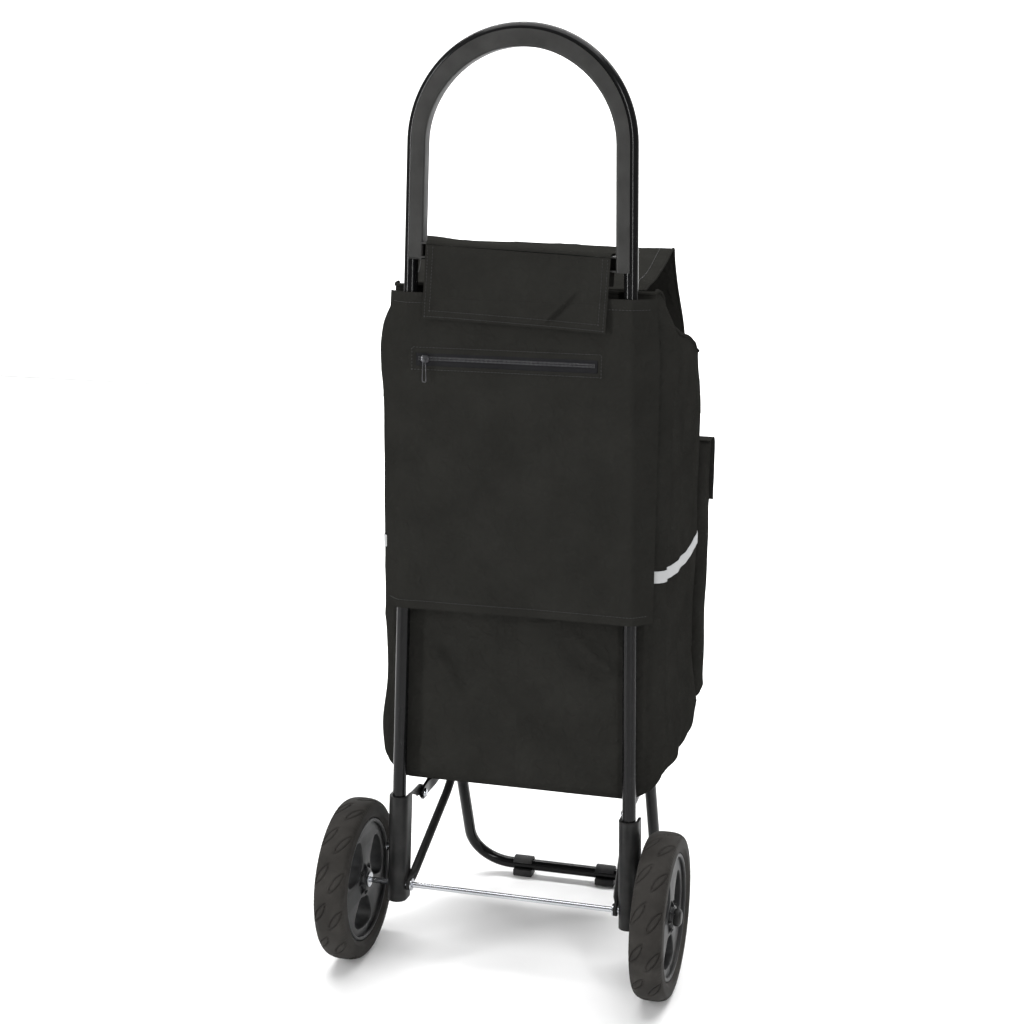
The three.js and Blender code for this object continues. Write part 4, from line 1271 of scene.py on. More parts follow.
def mouth_height(across, forward):
    """The height of the bag's mouth round its edge."""
    back = 629.0
    places, heights = [0, 14, 20, 34, 60, 105, 165, 218], [629, 631, 628, 598, 586, 577, 562, 550]
    side = np.interp(forward, places, heights)
    front = 550.0 - 3.0 * (1 - (across / 145.0) ** 2)
    is_side = smooth_step(np.abs(across), 118, 134)
    value = np.where(forward < 6, back, np.where(forward > 212, front, side))
    middle = (BAG_FRONT - BAG_BACK) / 2
    return value * is_side + np.where(forward < middle, back, front) * (1 - is_side)


# Across and up at each end, half width and depth of each fold in the bag's back
BAG_FOLDS = (
    (-92, 262, -58, 205, 6, 2.6),
    (-80, 268, -46, 214, 5, -1.8),
    (52, 288, 104, 246, 7, 2.4),
    (44, 272, 98, 236, 6, -2.0),
    (70, 262, 108, 250, 4, 1.8),
    (-104, 150, -78, 128, 6, 2.2),
    (70, 150, 108, 132, 6, 2.0),
)


def bag_offset(across, forward, h, normal):
    """Outward movement of the bag's cloth in mm, from its plain rounded box."""
    p = np.stack([across, forward, h], -1)
    side = np.abs(normal[..., 0])
    back = np.clip(-normal[..., 1], 0, 1)
    front = np.clip(normal[..., 1], 0, 1)
    move = side * bag_side_bulge(forward, h)
    tall = smooth_step(h, 300, 560)
    move += side * (4.5 * hump(forward, 21, 6) - 4.0 * hump(forward, 37, 7)) * (0.25 + 0.75 * tall)
    sway = 8 * np.sin(h / 95.0 + np.sign(across) * 1.1)
    calm = (1 - 0.7 * hump(h, 348, 42)) * (1 - 0.65 * smooth_step(h, 470, 560))
    move += side * calm * (2.0 * hump(forward, 84 + sway, 17) - 2.2 * hump(forward, 116 + sway, 14))
    move += side * calm * (2.0 * hump(forward, 156 - sway, 16) - 1.4 * hump(forward, 187 - sway, 12))
    move -= side * 9.0 * smooth_step(h, 490, 562) * smooth_step(forward, 110, 205)
    loose = 0.35 + 0.9 * (1 - smooth_step(h, 190, 360))
    move += (side * 1.3 + front * 0.7) * loose * ripple(p, 11, 95, 1.4, (1, 1, 0.55))
    move += side * 1.8 * loose * (creased(p, 23, 120, (1, 1, 0.5)) - 0.35)
    low = 1 - smooth_step(h, 270, 330)
    move += back * low * (0.9 * ripple(p, 5, 90) + 1.6 * (creased(p, 8, 150, (0.8, 1, 1)) - 0.35))
    move += back * 1.7 * line_folds(across, h, BAG_FOLDS, 6, 14)
    seam = np.exp(-((np.minimum(np.abs(forward - 2.5), np.abs(forward - 215.5)) / 2.2) ** 2))
    move -= seam * np.clip(side + 0.4, 0, 1) * 1.6
    return np.where(back > 0.5, np.clip(move, -3.0, 6.0), move)


def shell_grid(shape, rounding, bottom, height_of, width_of, offset_of, back, rows, lift=0.0):
    """Rows of points from the middle of the bottom to the mouth, all round a soft box."""
    outline, outward, run = shape
    depth = outline[:, 1].max() - outline[:, 1].min()
    half = outline[:, 0].max()
    across0, forward0 = outline[:, 0], outline[:, 1] - outline[:, 1].min()
    top = height_of(across0, forward0)
    side, front = np.abs(outward[:, 0]), np.clip(outward[:, 1], 0, 1)
    rear = np.clip(-outward[:, 1], 0, 1)
    radius = (side * rounding[0] + front * rounding[1] + rear * rounding[2]) / (side + front + rear)
    grid = []
    flat_rows, turn_rows, wall_rows = rows
    for k in range(flat_rows + turn_rows + wall_rows):
        if k < flat_rows:
            scale = 0.02 + 0.98 * k / flat_rows
            phi = 0.0
        else:
            scale = 1.0
            phi = min(1.0, (k - flat_rows) / turn_rows) * math.pi / 2
        share = max(0.0, (k - flat_rows - turn_rows) / (wall_rows - 1))
        h = bottom + radius * (1 - math.cos(phi)) + (top - bottom - radius) * share
        width = width_of(h)
        inset_x = rounding[0] * (1 - math.sin(phi))
        inset_front, inset_back = (rounding[n] * (1 - math.sin(phi)) for n in (1, 2))
        x = across0 * (width - inset_x) / half * scale
        middle = depth / 2
        y = inset_back + forward0 * (depth - inset_back - inset_front) / depth
        y = middle + (y - middle) * scale
        normal = outward * math.sin(phi) if k >= flat_rows else outward * 0
        move = offset_of(across0 / half * width, forward0, h, outward) * math.sin(phi)
        x = x + normal[:, 0] * move
        y = y + normal[:, 1] * move
        sag = lift * (1 - scale**2) if k < flat_rows else 0
        grid.append(np.stack([x, back + y, h - sag], -1))
    points = np.array(grid)
    climbs = np.linalg.norm(np.diff(points, axis=0), axis=2).mean(1)
    rise = np.concatenate([[0], np.cumsum(climbs)])
    return points, np.stack(np.meshgrid(run, rise), -1) / MM


def bag_outline():
    return perimeter(BAG_WIDTH, BAG_FRONT - BAG_BACK, BAG_CORNER, BAG_COUNTS)


def bag_points():
    return shell_grid(
        bag_outline(),
        (28.0, 40.0, 14.0),
        BAG_BOTTOM,
        mouth_height,
        seam_half,
        bag_offset,
        BAG_BACK,
        (8, 12, 118),
        2.0,
    )


def make_bag(settings):
    points, uv = bag_points()
    thickness = settings.cloth_thickness * MM
    piece = cloth_box("bag_shell", points, uv, thickness, 0, 300, 125)
    finish_piece(piece, "root", "bag_cloth", "bag_body")

    mouth = points[-1]
    binding = row(np.concatenate([mouth, mouth[:1]]))
    band = tube_piece("bag_mouth_binding", binding, 1.9 / MM, 1.5 / MM, (0, 0, 1), 10)
    finish_piece(paint(band, "panel"), "root", "bag_cloth")

    outline, _, _ = perimeter(232.0, 188.0, 22.0, (6, 6, 8))
    base = np.stack([outline[:, 0], BAG_BACK + 106 + outline[:, 1]], -1)
    layers = [np.concatenate([base, np.full((len(base), 1), h)], 1) for h in (115.2, 118.2)]
    board = grid_piece("bag_board", row(np.array(layers)), wrap_columns=True, caps=True)
    finish_piece(paint(sharpen(board), "board"), "root", "board_plastic", "base_board")


def make_strips():
    points, _ = bag_points()
    _, outward, _ = bag_outline()
    tape_length, tape_width, levels = 218.0, 12.0, 9
    for side, sign, back_h, front_h in (("left", -1, 366.0, 352.0), ("right", 1, 349.0, 334.0)):
        columns = [k for k in range(len(outward)) if outward[k, 0] * sign > 0.55]
        columns.sort(key=lambda k: points[100, k, 1])
        start = points[100, columns[0], 1]
        rows = []
        for k in columns:
            wall = points[20:, k]
            share = (points[100, k, 1] - start) / (BAG_FRONT - BAG_BACK)
            middle = back_h + (front_h - back_h) * share + 20.0 * share**4
            level = np.linspace(middle - tape_width / 2, middle + tape_width / 2, levels)
            x = np.interp(level, wall[:, 2], wall[:, 0]) + sign * 0.75
            y = np.interp(level, wall[:, 2], wall[:, 1])
            rows.append(np.stack([x, y, level], -1))
        run = np.linspace(0, tape_length / MM, len(rows))
        uv = np.stack(np.meshgrid(run, np.linspace(0, tape_width / MM, levels), indexing="ij"), -1)
        strip = cloth_sheet(f"side_tape_{side}", row(np.array(rows)), uv, 0.5, "tape")
        finish_piece(strip, "root", "reflective_tape", f"reflective_strip_{side}")


# ---- Lid ----
def lid_line(count_top, count_skirt):
    """The lid's middle line seen from the side, from its sewn edge to the hem of the front skirt."""
    hinge_y, hinge_h = LID_HINGE
    line = []
    for t in np.linspace(0, 1, count_top):
        sag = 5.0 * math.sin(math.pi * t) * (1 - t)
        line.append((hinge_y + (LID_FRONT - hinge_y) * t, hinge_h - 0.8 + 28.0 * t - sag))
    end_y, end_h = line[-1]
    bend = 3.0
    for angle in np.linspace(0, math.pi / 2, 8)[1:]:
        line.append((end_y + bend * math.sin(angle) - 1.0, end_h - bend * (1 - math.cos(angle))))
    skirt_h = end_h - bend
    for t in np.linspace(0, 1, count_skirt)[1:]:
        line.append((end_y + 2.0 + 1.2 * math.sin(t * math.pi), skirt_h - (skirt_h - LID_HEM) * t))
    return np.array(line)


def lid_points():
    line = lid_line(70, 40)
    run = run_length(line)
    columns = np.linspace(-1, 1, 90)
    forward = np.clip(run / LID_SKIRT_RUN, 0, 1)
    half = 121.0 + 26.0 * forward
    middle = -39.0 * forward + 14.5 * smooth_step(run, LID_SKIRT_RUN, 330)
    p = swept(columns, line)
    p[..., 0] = columns[None] * half[:, None] + middle[:, None]
    x, y, h = p[..., 0], p[..., 1], p[..., 2]
    share = (run / run[-1])[:, None]
    on_top = 1 - smooth_step(run, 214, 228)[:, None]
    edge = np.abs(columns)[None] ** 5
    held = smooth_step(run, 4, 40)[:, None]
    lift = 1.0 * ripple(p, 31, 110, 1.3) + 1.1 * (creased(p, 37, 130) - 0.3)
    droop = -1.5 * edge * (0.3 + 0.7 * share)
    crease = 2.4 * np.exp(-(((x - 108) * 0.8 + (y - 60) * 0.35) / 6.5) ** 2) * hump(y, 60, 40)
    rise = 3.2 - 1.6 * np.clip(columns[None], 0, 1) + 6.0 * smooth_step(-x, 122, 175)
    rise = rise * smooth_step(run, 90, LID_SKIRT_RUN)[:, None]
    fading = 1 - smooth_step(run, LID_SKIRT_RUN, 300)[:, None]
    h = h + on_top * held * (lift + droop + crease + rise) + (1 - on_top) * rise * fading
    wave = 1.6 * ripple(p, 41, 80) + 1.2 * (creased(p, 43, 110) - 0.3)
    y = y + (1 - on_top) * wave * 0.8
    y = np.where(on_top < 0.5, np.maximum(y, BAG_FRONT + 1.0), y)
    uv = np.stack([x / MM, np.repeat((run / MM)[:, None], len(columns), 1)], -1)
    return np.stack([x, y, h], -1), uv


def make_lid(settings):
    points, uv = lid_points()
    thickness = settings.cloth_thickness * MM
    lid = cloth_sheet("lid_cloth", row(points), uv, thickness, "cloth")
    finish_piece(lid, "lid", "bag_cloth", "bag_lid")
    for name, edge, axis in (
        ("lid_hem_left", points[:, 0], (0, 1, 0)),
        ("lid_hem_right", points[:, -1], (0, 1, 0)),
        ("lid_hem_front", points[-1], (0, 0, 1)),
    ):
        hem = tube_piece(name, row(edge), 1.6 / MM, 1.3 / MM, axis, 10)
        finish_piece(paint(hem, "panel"), "lid", "bag_cloth")
    inner = [row(points[2:-2, c] + np.array([0, 0, 1.1])) for c in (4, -5)]
    lines = stitch_lines("lid_stitching", inner, "lid", "bag_cloth")


# ---- Sleeve over both legs ----
def sleeve_section(h, count=190):
    """The sleeve's outline seen from above at height h: from seam to seam over both tubes."""
    spread, edge = float(leg_spread(h)), float(seam_half(h)) + 0.6
    reach = SLEEVE_REACH
    seam = np.array([edge, BAG_BACK - 0.4])
    tube = np.array([spread, 0.0])
    gap = seam - tube
    distance = np.linalg.norm(gap)
    tangent = math.atan2(gap[1], gap[0]) - math.acos(min(1, reach / distance))
    turns = np.linspace(tangent, -math.pi / 2, 12)
    arc = [tube + reach * np.array([math.cos(a), math.sin(a)]) for a in turns]
    right = [seam + (arc[0] - seam) * t for t in np.linspace(0, 1, 8, endpoint=False)] + arc
    middle = []
    for t in np.linspace(0, 1, 40)[1:-1]:
        x = spread * (1 - 2 * t)
        middle.append(np.array([x, -reach + 2.2 * math.sin(math.pi * t) ** 2]))
    left = [np.array([-p[0], p[1]]) for p in reversed(right)]
    line = np.array(right + middle + left)[::-1]
    run = run_length(line)
    even = np.linspace(0, run[-1], count)
    return np.stack([np.interp(even, run, line[:, n]) for n in (0, 1)], -1), run[-1]


def within(value, low, high, outside, inside):
    """1 between low and high, easing to 0 from inside to outside past either end."""
    rising = smooth_step(value, low - outside, low - inside)
    return rising * (1 - smooth_step(value, high + inside, high + outside))


def zip_recess(x, h):
    """How far the cloth dips inward round the zip's opening, from 0 to 1."""
    upward = smooth_step(h, ZIP_HEIGHT - 9, ZIP_HEIGHT - 6.5)
    upward = upward * (1 - smooth_step(h, ZIP_HEIGHT + 5, ZIP_HEIGHT + 6))
    return within(x, ZIP_LEFT, ZIP_RIGHT, 5, 2) * upward


def sleeve_points(rows=190, columns=200):
    levels = np.linspace(SLEEVE_BOTTOM - 1, SLEEVE_TOP, rows)
    grid, widths = [], []
    for h in levels:
        line, width = sleeve_section(h, columns)
        grid.append(np.concatenate([line, np.full((columns, 1), h)], 1))
        widths.append(width)
    points = np.array(grid)
    x, y, h = points[..., 0], points[..., 1], points[..., 2]
    spread = leg_spread(h)
    free = np.clip((np.abs(np.abs(x) - spread) - 9) / 22, 0, 1) * (np.abs(x) < spread)
    loose = 0.6 + 0.4 * hump(h, 420, 120)
    wave = ripple(points, 61, 150, 1.2, (1, 1, 0.6))
    wave = wave + 0.8 * (creased(points, 67, 190, (1, 1, 0.45)) - 0.3)
    inward = free * loose * wave
    beside_tube = hump(np.abs(x) - spread, -24, 14) * 1.2 * hump(h, 380, 150)
    hem = 0.7 * (1 - smooth_step(h, SLEEVE_BOTTOM + 8.5, SLEEVE_BOTTOM + 10))
    hem = hem + 0.5 * smooth_step(h, SLEEVE_TOP - 11, SLEEVE_TOP - 9.5)
    zip_edge = within(x, ZIP_LEFT, ZIP_RIGHT, 9, 7)
    zip_edge = 0.9 * zip_edge * smooth_step(h, ZIP_HEIGHT - 13, ZIP_HEIGHT - 11)
    zip_edge = zip_edge * (1 - smooth_step(h, ZIP_HEIGHT + 12, ZIP_HEIGHT + 14))
    y = y + inward + beside_tube - hem - zip_edge + 1.5 * zip_recess(x, h)
    y = np.minimum(y, BAG_BACK - 0.6)
    uv = np.stack([x / MM, h / MM], -1)
    return np.stack([x, y, h], -1), uv, np.mean(widths)


def on_sleeve(grid, x, h, lift):
    """A point just off the sleeve's face at a given place across and up."""
    columns = np.argmin(np.abs(grid[0, :, 0] - x))
    rows = np.argmin(np.abs(grid[:, 0, 2] - h))
    return np.array([x, grid[rows, columns, 1] - lift, h])


def make_sleeve():
    points, uv, width = sleeve_points()
    sleeve = cloth_sheet("sleeve_panel", row(points), uv, 0.9, "panel")
    finish_piece(sleeve, "root", "bag_cloth", "back_sleeve")
    lines = []
    for level in (SLEEVE_BOTTOM + 7.0, SLEEVE_TOP - 10.0):
        index = int(np.argmin(np.abs(points[:, 0, 2] - level)))
        lines.append(row(points[index, 6:-6] - np.array([0, 0.62, 0])))
    corners = [
        (ZIP_LEFT - 6, ZIP_HEIGHT - 11),
        (ZIP_RIGHT + 6, ZIP_HEIGHT - 11),
        (ZIP_RIGHT + 6, ZIP_HEIGHT + 11),
        (ZIP_LEFT - 6, ZIP_HEIGHT + 11),
        (ZIP_LEFT - 6, ZIP_HEIGHT - 11),
    ]
    box = []
    for (x0, h0), (x1, h1) in zip(corners[:-1], corners[1:]):
        for t in np.linspace(0, 1, 60):
            box.append(on_sleeve(points, x0 + (x1 - x0) * t, h0 + (h1 - h0) * t, 0.7))
    lines.append(row(np.array(box)))
    stitching = stitch_lines("sleeve_stitching", lines, "root", "bag_cloth")


def make_zip():
    grid, _, _ = sleeve_points()
    across = np.linspace(ZIP_LEFT - 2, ZIP_RIGHT + 2, 120)
    levels = np.linspace(ZIP_HEIGHT - 7.4, ZIP_HEIGHT + 6.0, 12)
    middle_line = np.array([on_sleeve(grid, x, ZIP_HEIGHT, 0.95) for x in across])
    face = np.array([middle_line * (1, 1, 0) + (0, 0, h) for h in levels])
    uv = np.stack(np.meshgrid(levels / MM, across / MM, indexing="ij")[::-1], -1)
    tape = grid_piece("zip_band", row(face), uv)
    thicken(tape, 0.5)
    freeze(tape)
    finish_piece(paint(tape, "zip tape"), "root", "zip_plastic", "zip_tape")
    for name, shift in (("zip_coil_upper", 1.1), ("zip_coil_lower", -1.1)):
        line = np.array([on_sleeve(grid, x, ZIP_HEIGHT, 1.5) + (0, 0, shift) for x in across[2:-2]])
        coil = wire_piece(name, [row(line)])
        grow(coil, "row", "zip teeth", Pitch=0.0013, Size=(0.00042, 0.0005, 0.0011))
        finish_piece(coil, "root", "zip_plastic")

    outline, _, _ = perimeter(8.6, 7.0, 2.6, (3, 3, 5))
    layers = []
    for inset, depth in ((0.9, 1.6), (0.2, 1.1), (0.0, 0.4), (0.0, -0.4), (0.3, -1.2), (1.2, -1.6)):
        face = outline * (1 - inset / 4)
        layers.append(np.stack([face[:, 0], np.full(len(face), depth), face[:, 1]], -1))
    c, n = math.cos(LEAN), math.sin(LEAN)
    tilted = np.array(layers) @ np.array([[1, 0, 0], [0, c, -n], [0, n, c]])
    middle = centre_mm("zip_slider")
    body = grid_piece("zip_runner", (tilted + middle) / MM, wrap_columns=True, caps=True)
    turn_outward(body)
    finish_piece(paint(sharpen(body), "zip metal"), "zip_slider", "zip_plastic", "zip_slider")

    low, high = box_mm("zip_pull")
    top, bottom = high[2] - 1.2, low[2] + 2.2
    middle_x, middle_y = (low[0] + high[0]) / 2, (low[1] + high[1]) / 2
    slope = math.tan(LEAN)
    loop = []
    centre, half = (top + bottom) / 2, (top - bottom) / 2
    for t in np.linspace(0, 2 * math.pi, 72, endpoint=False):
        along = centre + half * np.sign(math.cos(t)) * abs(math.cos(t)) ** 0.35
        share = (top - along) / (top - bottom)
        wide = (1.1 + 1.0 * share) * np.sign(math.sin(t)) * abs(math.sin(t)) ** 0.6
        loop.append((middle_x + wide, middle_y + (along - centre) * slope, along))
    loop = np.array(loop + loop[:1])
    pull = tube_piece("zip_puller", loop / MM, 0.55 / MM, 0.55 / MM, (0, 1, 0), 10)
    finish_piece(paint(pull, "zip metal"), "zip_pull", "zip_plastic", "zip_pull")


# ---- Hanger over the crossbar ----
def hanger_row(points):
    """Points of the crossbar's own tilted place, as row-frame metres."""
    p = np.asarray(points, float)
    x = p[..., 0] * math.cos(CROSSBAR_TILT) + p[..., 2] * math.sin(CROSSBAR_TILT)
    h = CROSSBAR_HEIGHT + p[..., 2] * math.cos(CROSSBAR_TILT) - p[..., 0] * math.sin(CROSSBAR_TILT)
    return row(np.stack([x, p[..., 1], h], -1))


# Across and up at each end, half width and depth of each line pressed into the flap
FLAP_FOLDS = (
    (67, -27, 34, -62, 2.4, 2.6),
    (61, -29, 30, -60, 2.0, -1.9),
    (36, -58, 44, -66, 2.2, 1.0),
    (20, -64, 46, -55, 3.0, -0.8),
    (-84, -52, -60, -62, 5.0, 0.7),
)


def make_hanger(settings):
    half, top = 92.5, 9.0
    line = []
    for angle in np.linspace(math.pi, math.pi / 2, 7):
        line.append((-7.4 + 2.7 * math.cos(angle), top - 2.7 + 2.7 * math.sin(angle)))
    line.append((0, top + 0.2))
    for angle in np.linspace(math.pi / 2, 0, 7):
        line.append((7.3 + 2.4 * math.cos(angle), top - 2.4 + 2.4 * math.sin(angle)))
    line += [(9.9, t) for t in np.linspace(4, -23, 12)]
    line = np.array(line)
    columns = np.linspace(-half, half, 80)
    strap = swept(columns, line)
    strap[..., 2] += 0.25 * ripple(strap, 71, 60)
    run = run_length(line)
    uv = np.stack(np.meshgrid(run / MM, columns / MM, indexing="ij")[::-1], -1)
    piece = cloth_sheet("hanger_loop", hanger_row(strap), uv, 0.9, "panel")
    finish_piece(piece, "root", "bag_cloth", "hanger_strap")

    length = settings.flap_length * MM
    levels = np.linspace(0, 1, 90)
    columns = np.linspace(-1, 1, 150)
    share = np.repeat(levels[:, None], len(columns), 1)
    x = np.repeat(columns[None] * half, len(levels), 0)
    z = top - 3.2 - share * (length - 3.2)
    z = z - 0.8 * share * (columns[None] ** 2)
    p = np.stack([x, np.zeros_like(x), z], -1)
    level = z + CROSSBAR_HEIGHT - x * math.tan(CROSSBAR_TILT)
    y = -10.6 - 0.5 * share - 1.2 * share**2 * (0.6 + 0.4 * np.cos(columns * 5))[None]
    y = y - 0.8 * smooth_step(-level, -SLEEVE_TOP + 4.6, -SLEEVE_TOP + 6.2)
    y = y + share * 0.6 * ripple(p, 81, 90)
    y = y + line_folds(x, z, FLAP_FOLDS, 4, 10)
    hem = smooth_step(np.abs(x), half - 9.5, half - 8.5) + smooth_step(share, 0.885, 0.895)
    y = np.minimum(y - 0.45 * np.clip(hem, 0, 1), -9.95)
    grid = np.stack([x, y, z], -1)
    uv = np.stack([x / MM, z / MM], -1)
    flap = cloth_sheet("hanger_flap_cloth", hanger_row(grid), uv, 0.8, "panel")
    finish_piece(flap, "front_flap", "bag_cloth", "hanger_flap")

    lines = []
    lift = np.array([0, 0.6, 0])
    last_column, last_level = len(columns) - 1, len(levels) - 1
    for inset in (2.2, 8.0):
        left = int(round(inset / (2 * half) * last_column))
        right = last_column - left
        low = int(round((1 - inset / length) * last_level))
        lines.append(hanger_row(grid[3 : low + 1, left] - lift))
        lines.append(hanger_row(grid[3 : low + 1, right] - lift))
        lines.append(hanger_row(grid[low, left : right + 1] - lift))
    stitching = stitch_lines("flap_stitching", lines, "front_flap", "bag_cloth", 3.2, 2.2, 0.3)


# ---- Front pocket ----
def pocket_offset(across, forward, h, normal):
    p = np.stack([across, forward, h], -1)
    side, front = np.abs(normal[..., 0]), np.clip(normal[..., 1], 0, 1)
    move = front * (2.0 * (1 - (across / 145) ** 2) * hump(h, 300, 120) - 2.0)
    move += (side * 0.8 + front * 1.0) * (0.9 * ripple(p, 91, 85, 1.3) + 1.1 * (creased(p, 97, 120) - 0.4))
    return np.where(forward < 3, 0, move)


def make_front_pocket():
    points, uv = shell_grid(
        perimeter(2 * POCKET_HALF, POCKET_DEPTH, 10.0, (34, 12, 8)),
        (16.0, 16.0, 1.0),
        POCKET_BOTTOM,
        lambda across, forward: np.full(len(across), POCKET_TOP),
        lambda h: POCKET_HALF + 0 * np.asarray(h),
        pocket_offset,
        BAG_FRONT + 0.8,
        (6, 8, 70),
    )
    piece = cloth_box("front_pouch", points, uv, 1.4, 230, 300, 170)
    finish_piece(piece, "root", "bag_cloth", "front_pocket")

    line = [(BAG_FRONT + 0.9, 453.5), (BAG_FRONT + 12, 454.2), (BAG_FRONT + 24, 454.0)]
    for angle in np.linspace(math.pi / 2, 0, 12):
        line.append((BAG_FRONT + 26.6 + 9.4 * math.cos(angle), 444.5 + 9.5 * math.sin(angle)))
    line += [(BAG_FRONT + 36.2, h) for h in np.linspace(440, 383, 26)]
    line = np.array(line)
    columns = np.linspace(-POCKET_FLAP_HALF, POCKET_FLAP_HALF, 110)
    p = swept(columns, line)
    x, y, h = p[..., 0], p[..., 1], p[..., 2]
    drop = smooth_step(454 - h, 4, 30)
    wave = 0.7 * ripple(p, 101, 80) + 0.8 * (creased(p, 103, 110) - 0.3)
    y = y + drop * np.maximum(-0.7, wave)
    run = run_length(line)
    uv = np.stack([x / MM, np.repeat((run / MM)[:, None], len(columns), 1)], -1)
    grid = np.stack([x, y, h], -1)
    flap = cloth_sheet("pouch_flap", row(grid), uv, 1.3, "cloth")
    finish_piece(flap, "pocket_flap", "bag_cloth", "pocket_flap")
    lift = np.array([0, 0.9, 0])
    lines = [row(grid[-4, 3:-3] + lift), row(grid[14:-4, 3] + lift), row(grid[14:-4, -4] + lift)]
    stitching = stitch_lines("pouch_stitching", lines, "pocket_flap", "bag_cloth")


# ---- Stage ----
STAGE_HALF, STAGE_NEAR, STAGE_TOP, SWEEP_RADIUS = 9.0, -6.0, 8.0, 3.0
CAMERA_PLACE = (0.4829, -1.7968, 0.9386)
CAMERA_DOWN, CAMERA_TURN = 14.05, 15.64
CAMERA_LENS, CAMERA_SENSOR = 64.75, 36.0
# Name, place, aim, size and share of the settings' power
LIGHTS = (
    ("left_softbox", (-1.75, -1.7, 1.0), (0, 0, 0.5), (0.25, 2.0), 1.0),
    ("right_softbox", (1.5, -2.3, 1.2), (0, 0, 0.5), (0.25, 2.0), 0.8),
    ("overhead_softbox", (0.0, -0.2, 2.7), (0, 0, 0), (2.4, 2.0), 1.5),
    ("backdrop_light", (0.0, 1.8, 3.8), (0, 4.6, 0.8), (6.0, 1.0), 12),
)


def area_light(name, place, aim, size, power):
    data = bpy.data.lights.new(name, "AREA")
    data.shape = "RECTANGLE"
    data.size, data.size_y = size
    data.energy = power
    lamp = add_object(name, data)
    lamp.location = place
    lamp.rotation_euler = (Vector(aim) - Vector(place)).to_track_quat("-Z", "Y").to_euler()


def make_stage(settings):
    scene = bpy.context.scene
    centre = SWEEP_RADIUS
    profile = [(STAGE_NEAR, 0.0), (centre, 0.0)]
    for t in np.linspace(0, math.pi / 2, 40):
        profile.append((centre + SWEEP_RADIUS * math.sin(t), SWEEP_RADIUS * (1 - math.cos(t))))
    profile.append((centre + SWEEP_RADIUS, STAGE_TOP))
    sweep = [[(x, y, z) for y, z in profile] for x in (-STAGE_HALF, STAGE_HALF)]
    floor = grid_piece("studio_floor", np.array(sweep))
    paint(floor, "floor")
    world = bpy.data.worlds.new("Studio")
    world.use_nodes = True
    sky = world.node_tree.nodes["Background"]
    sky.inputs["Color"].default_value = (1, 1, 1, 1)
    sky.inputs["Strength"].default_value = settings.world_strength
    scene.world = world
    scene.view_settings.view_transform = "Standard"
    for name, place, aim, size, share in LIGHTS:
        area_light(name, place, aim, size, settings.key_power * share)
    camera = bpy.data.cameras.new("camera")
    camera.lens = CAMERA_LENS
    camera.sensor_width = CAMERA_SENSOR
    holder = add_object("camera", camera)
    holder.location = CAMERA_PLACE
    holder.rotation_euler = (math.radians(90 - CAMERA_DOWN), 0, math.radians(CAMERA_TURN))
    scene.camera = holder


# ---- Settings, operators and panel ----
class TrolleySettings(bpy.types.PropertyGroup):
    """Sizes and colours of the trolley's looks."""

    tube_diameter: bpy.props.FloatProperty(
        name="Tube diameter",
        description="Outside diameter of the handle tube",
        default=0.014,
        unit="LENGTH",
    )
    cloth_thickness: bpy.props.FloatProperty(
        name="Cloth thickness",
        description="Thickness of the bag's cloth",
        default=0.0013,
        unit="LENGTH",
    )
    flap_length: bpy.props.FloatProperty(
        name="Flap length",
        description="Length of the flap that hangs from the crossbar",
        default=0.0745,
        unit="LENGTH",
    )
    tube_colour: bpy.props.FloatVectorProperty(
        name="Tube colour",
        description="Paint of the handle and foot tubes",
        default=(0.003, 0.003, 0.0032),
        subtype="COLOR",
    )
    insert_colour: bpy.props.FloatVectorProperty(
        name="Insert colour",
        description="Moulded lining of the handle",
        default=(0.0165, 0.0163, 0.0155),
        subtype="COLOR",
    )
    cloth_colour: bpy.props.FloatVectorProperty(
        name="Cloth colour",
        description="Cloth of the bag",
        default=(0.0150, 0.0148, 0.0135),
        subtype="COLOR",
    )
    tyre_colour: bpy.props.FloatVectorProperty(
        name="Tyre colour",
        description="Foam rubber of the tyres",
        default=(0.0175, 0.0160, 0.0145),
        subtype="COLOR",
    )
    strip_colour: bpy.props.FloatVectorProperty(
        name="Strip colour",
        description="Reflective tape on the bag's sides",
        default=(0.40, 0.405, 0.41),
        subtype="COLOR",
    )
    floor_colour: bpy.props.FloatVectorProperty(
        name="Floor colour",
        description="Studio floor",
        default=(0.86, 0.86, 0.86),
        subtype="COLOR",
    )
    world_strength: bpy.props.FloatProperty(
        name="World strength",
        description="Brightness of the light all round",
        default=0.3,
    )
    key_power: bpy.props.FloatProperty(
        name="Softbox power",
        description="Power of the main softbox",
        default=38.0,
        unit="POWER",
    )


class TROLLEY_OT_handle_tube(bpy.types.Operator):
    """Builds the glossy arched handle tube"""

    bl_idname = "trolley.handle_tube"
    bl_label = "Handle tube"

    def execute(self, context):
        make_frame_tube(context.scene.trolley)
        return {"FINISHED"}


class TROLLEY_OT_grip_insert(bpy.types.Operator):
    """Builds the moulded lining and crossbar"""

    bl_idname = "trolley.grip_insert"
    bl_label = "Grip insert"

    def execute(self, context):
        make_grip_insert()
        return {"FINISHED"}


class TROLLEY_OT_brackets(bpy.types.Operator):
    """Builds the brackets at the foot of each leg"""

    bl_idname = "trolley.brackets"
    bl_label = "Leg brackets"

    def execute(self, context):
        make_brackets()
        return {"FINISHED"}


class TROLLEY_OT_foot(bpy.types.Operator):
    """Builds the bent foot tube"""

    bl_idname = "trolley.foot"
    bl_label = "Foot loop"

    def execute(self, context):
        make_foot()
        return {"FINISHED"}


class TROLLEY_OT_struts(bpy.types.Operator):
    """Builds both struts"""

    bl_idname = "trolley.struts"
    bl_label = "Struts"

    def execute(self, context):
        make_struts()
        return {"FINISHED"}


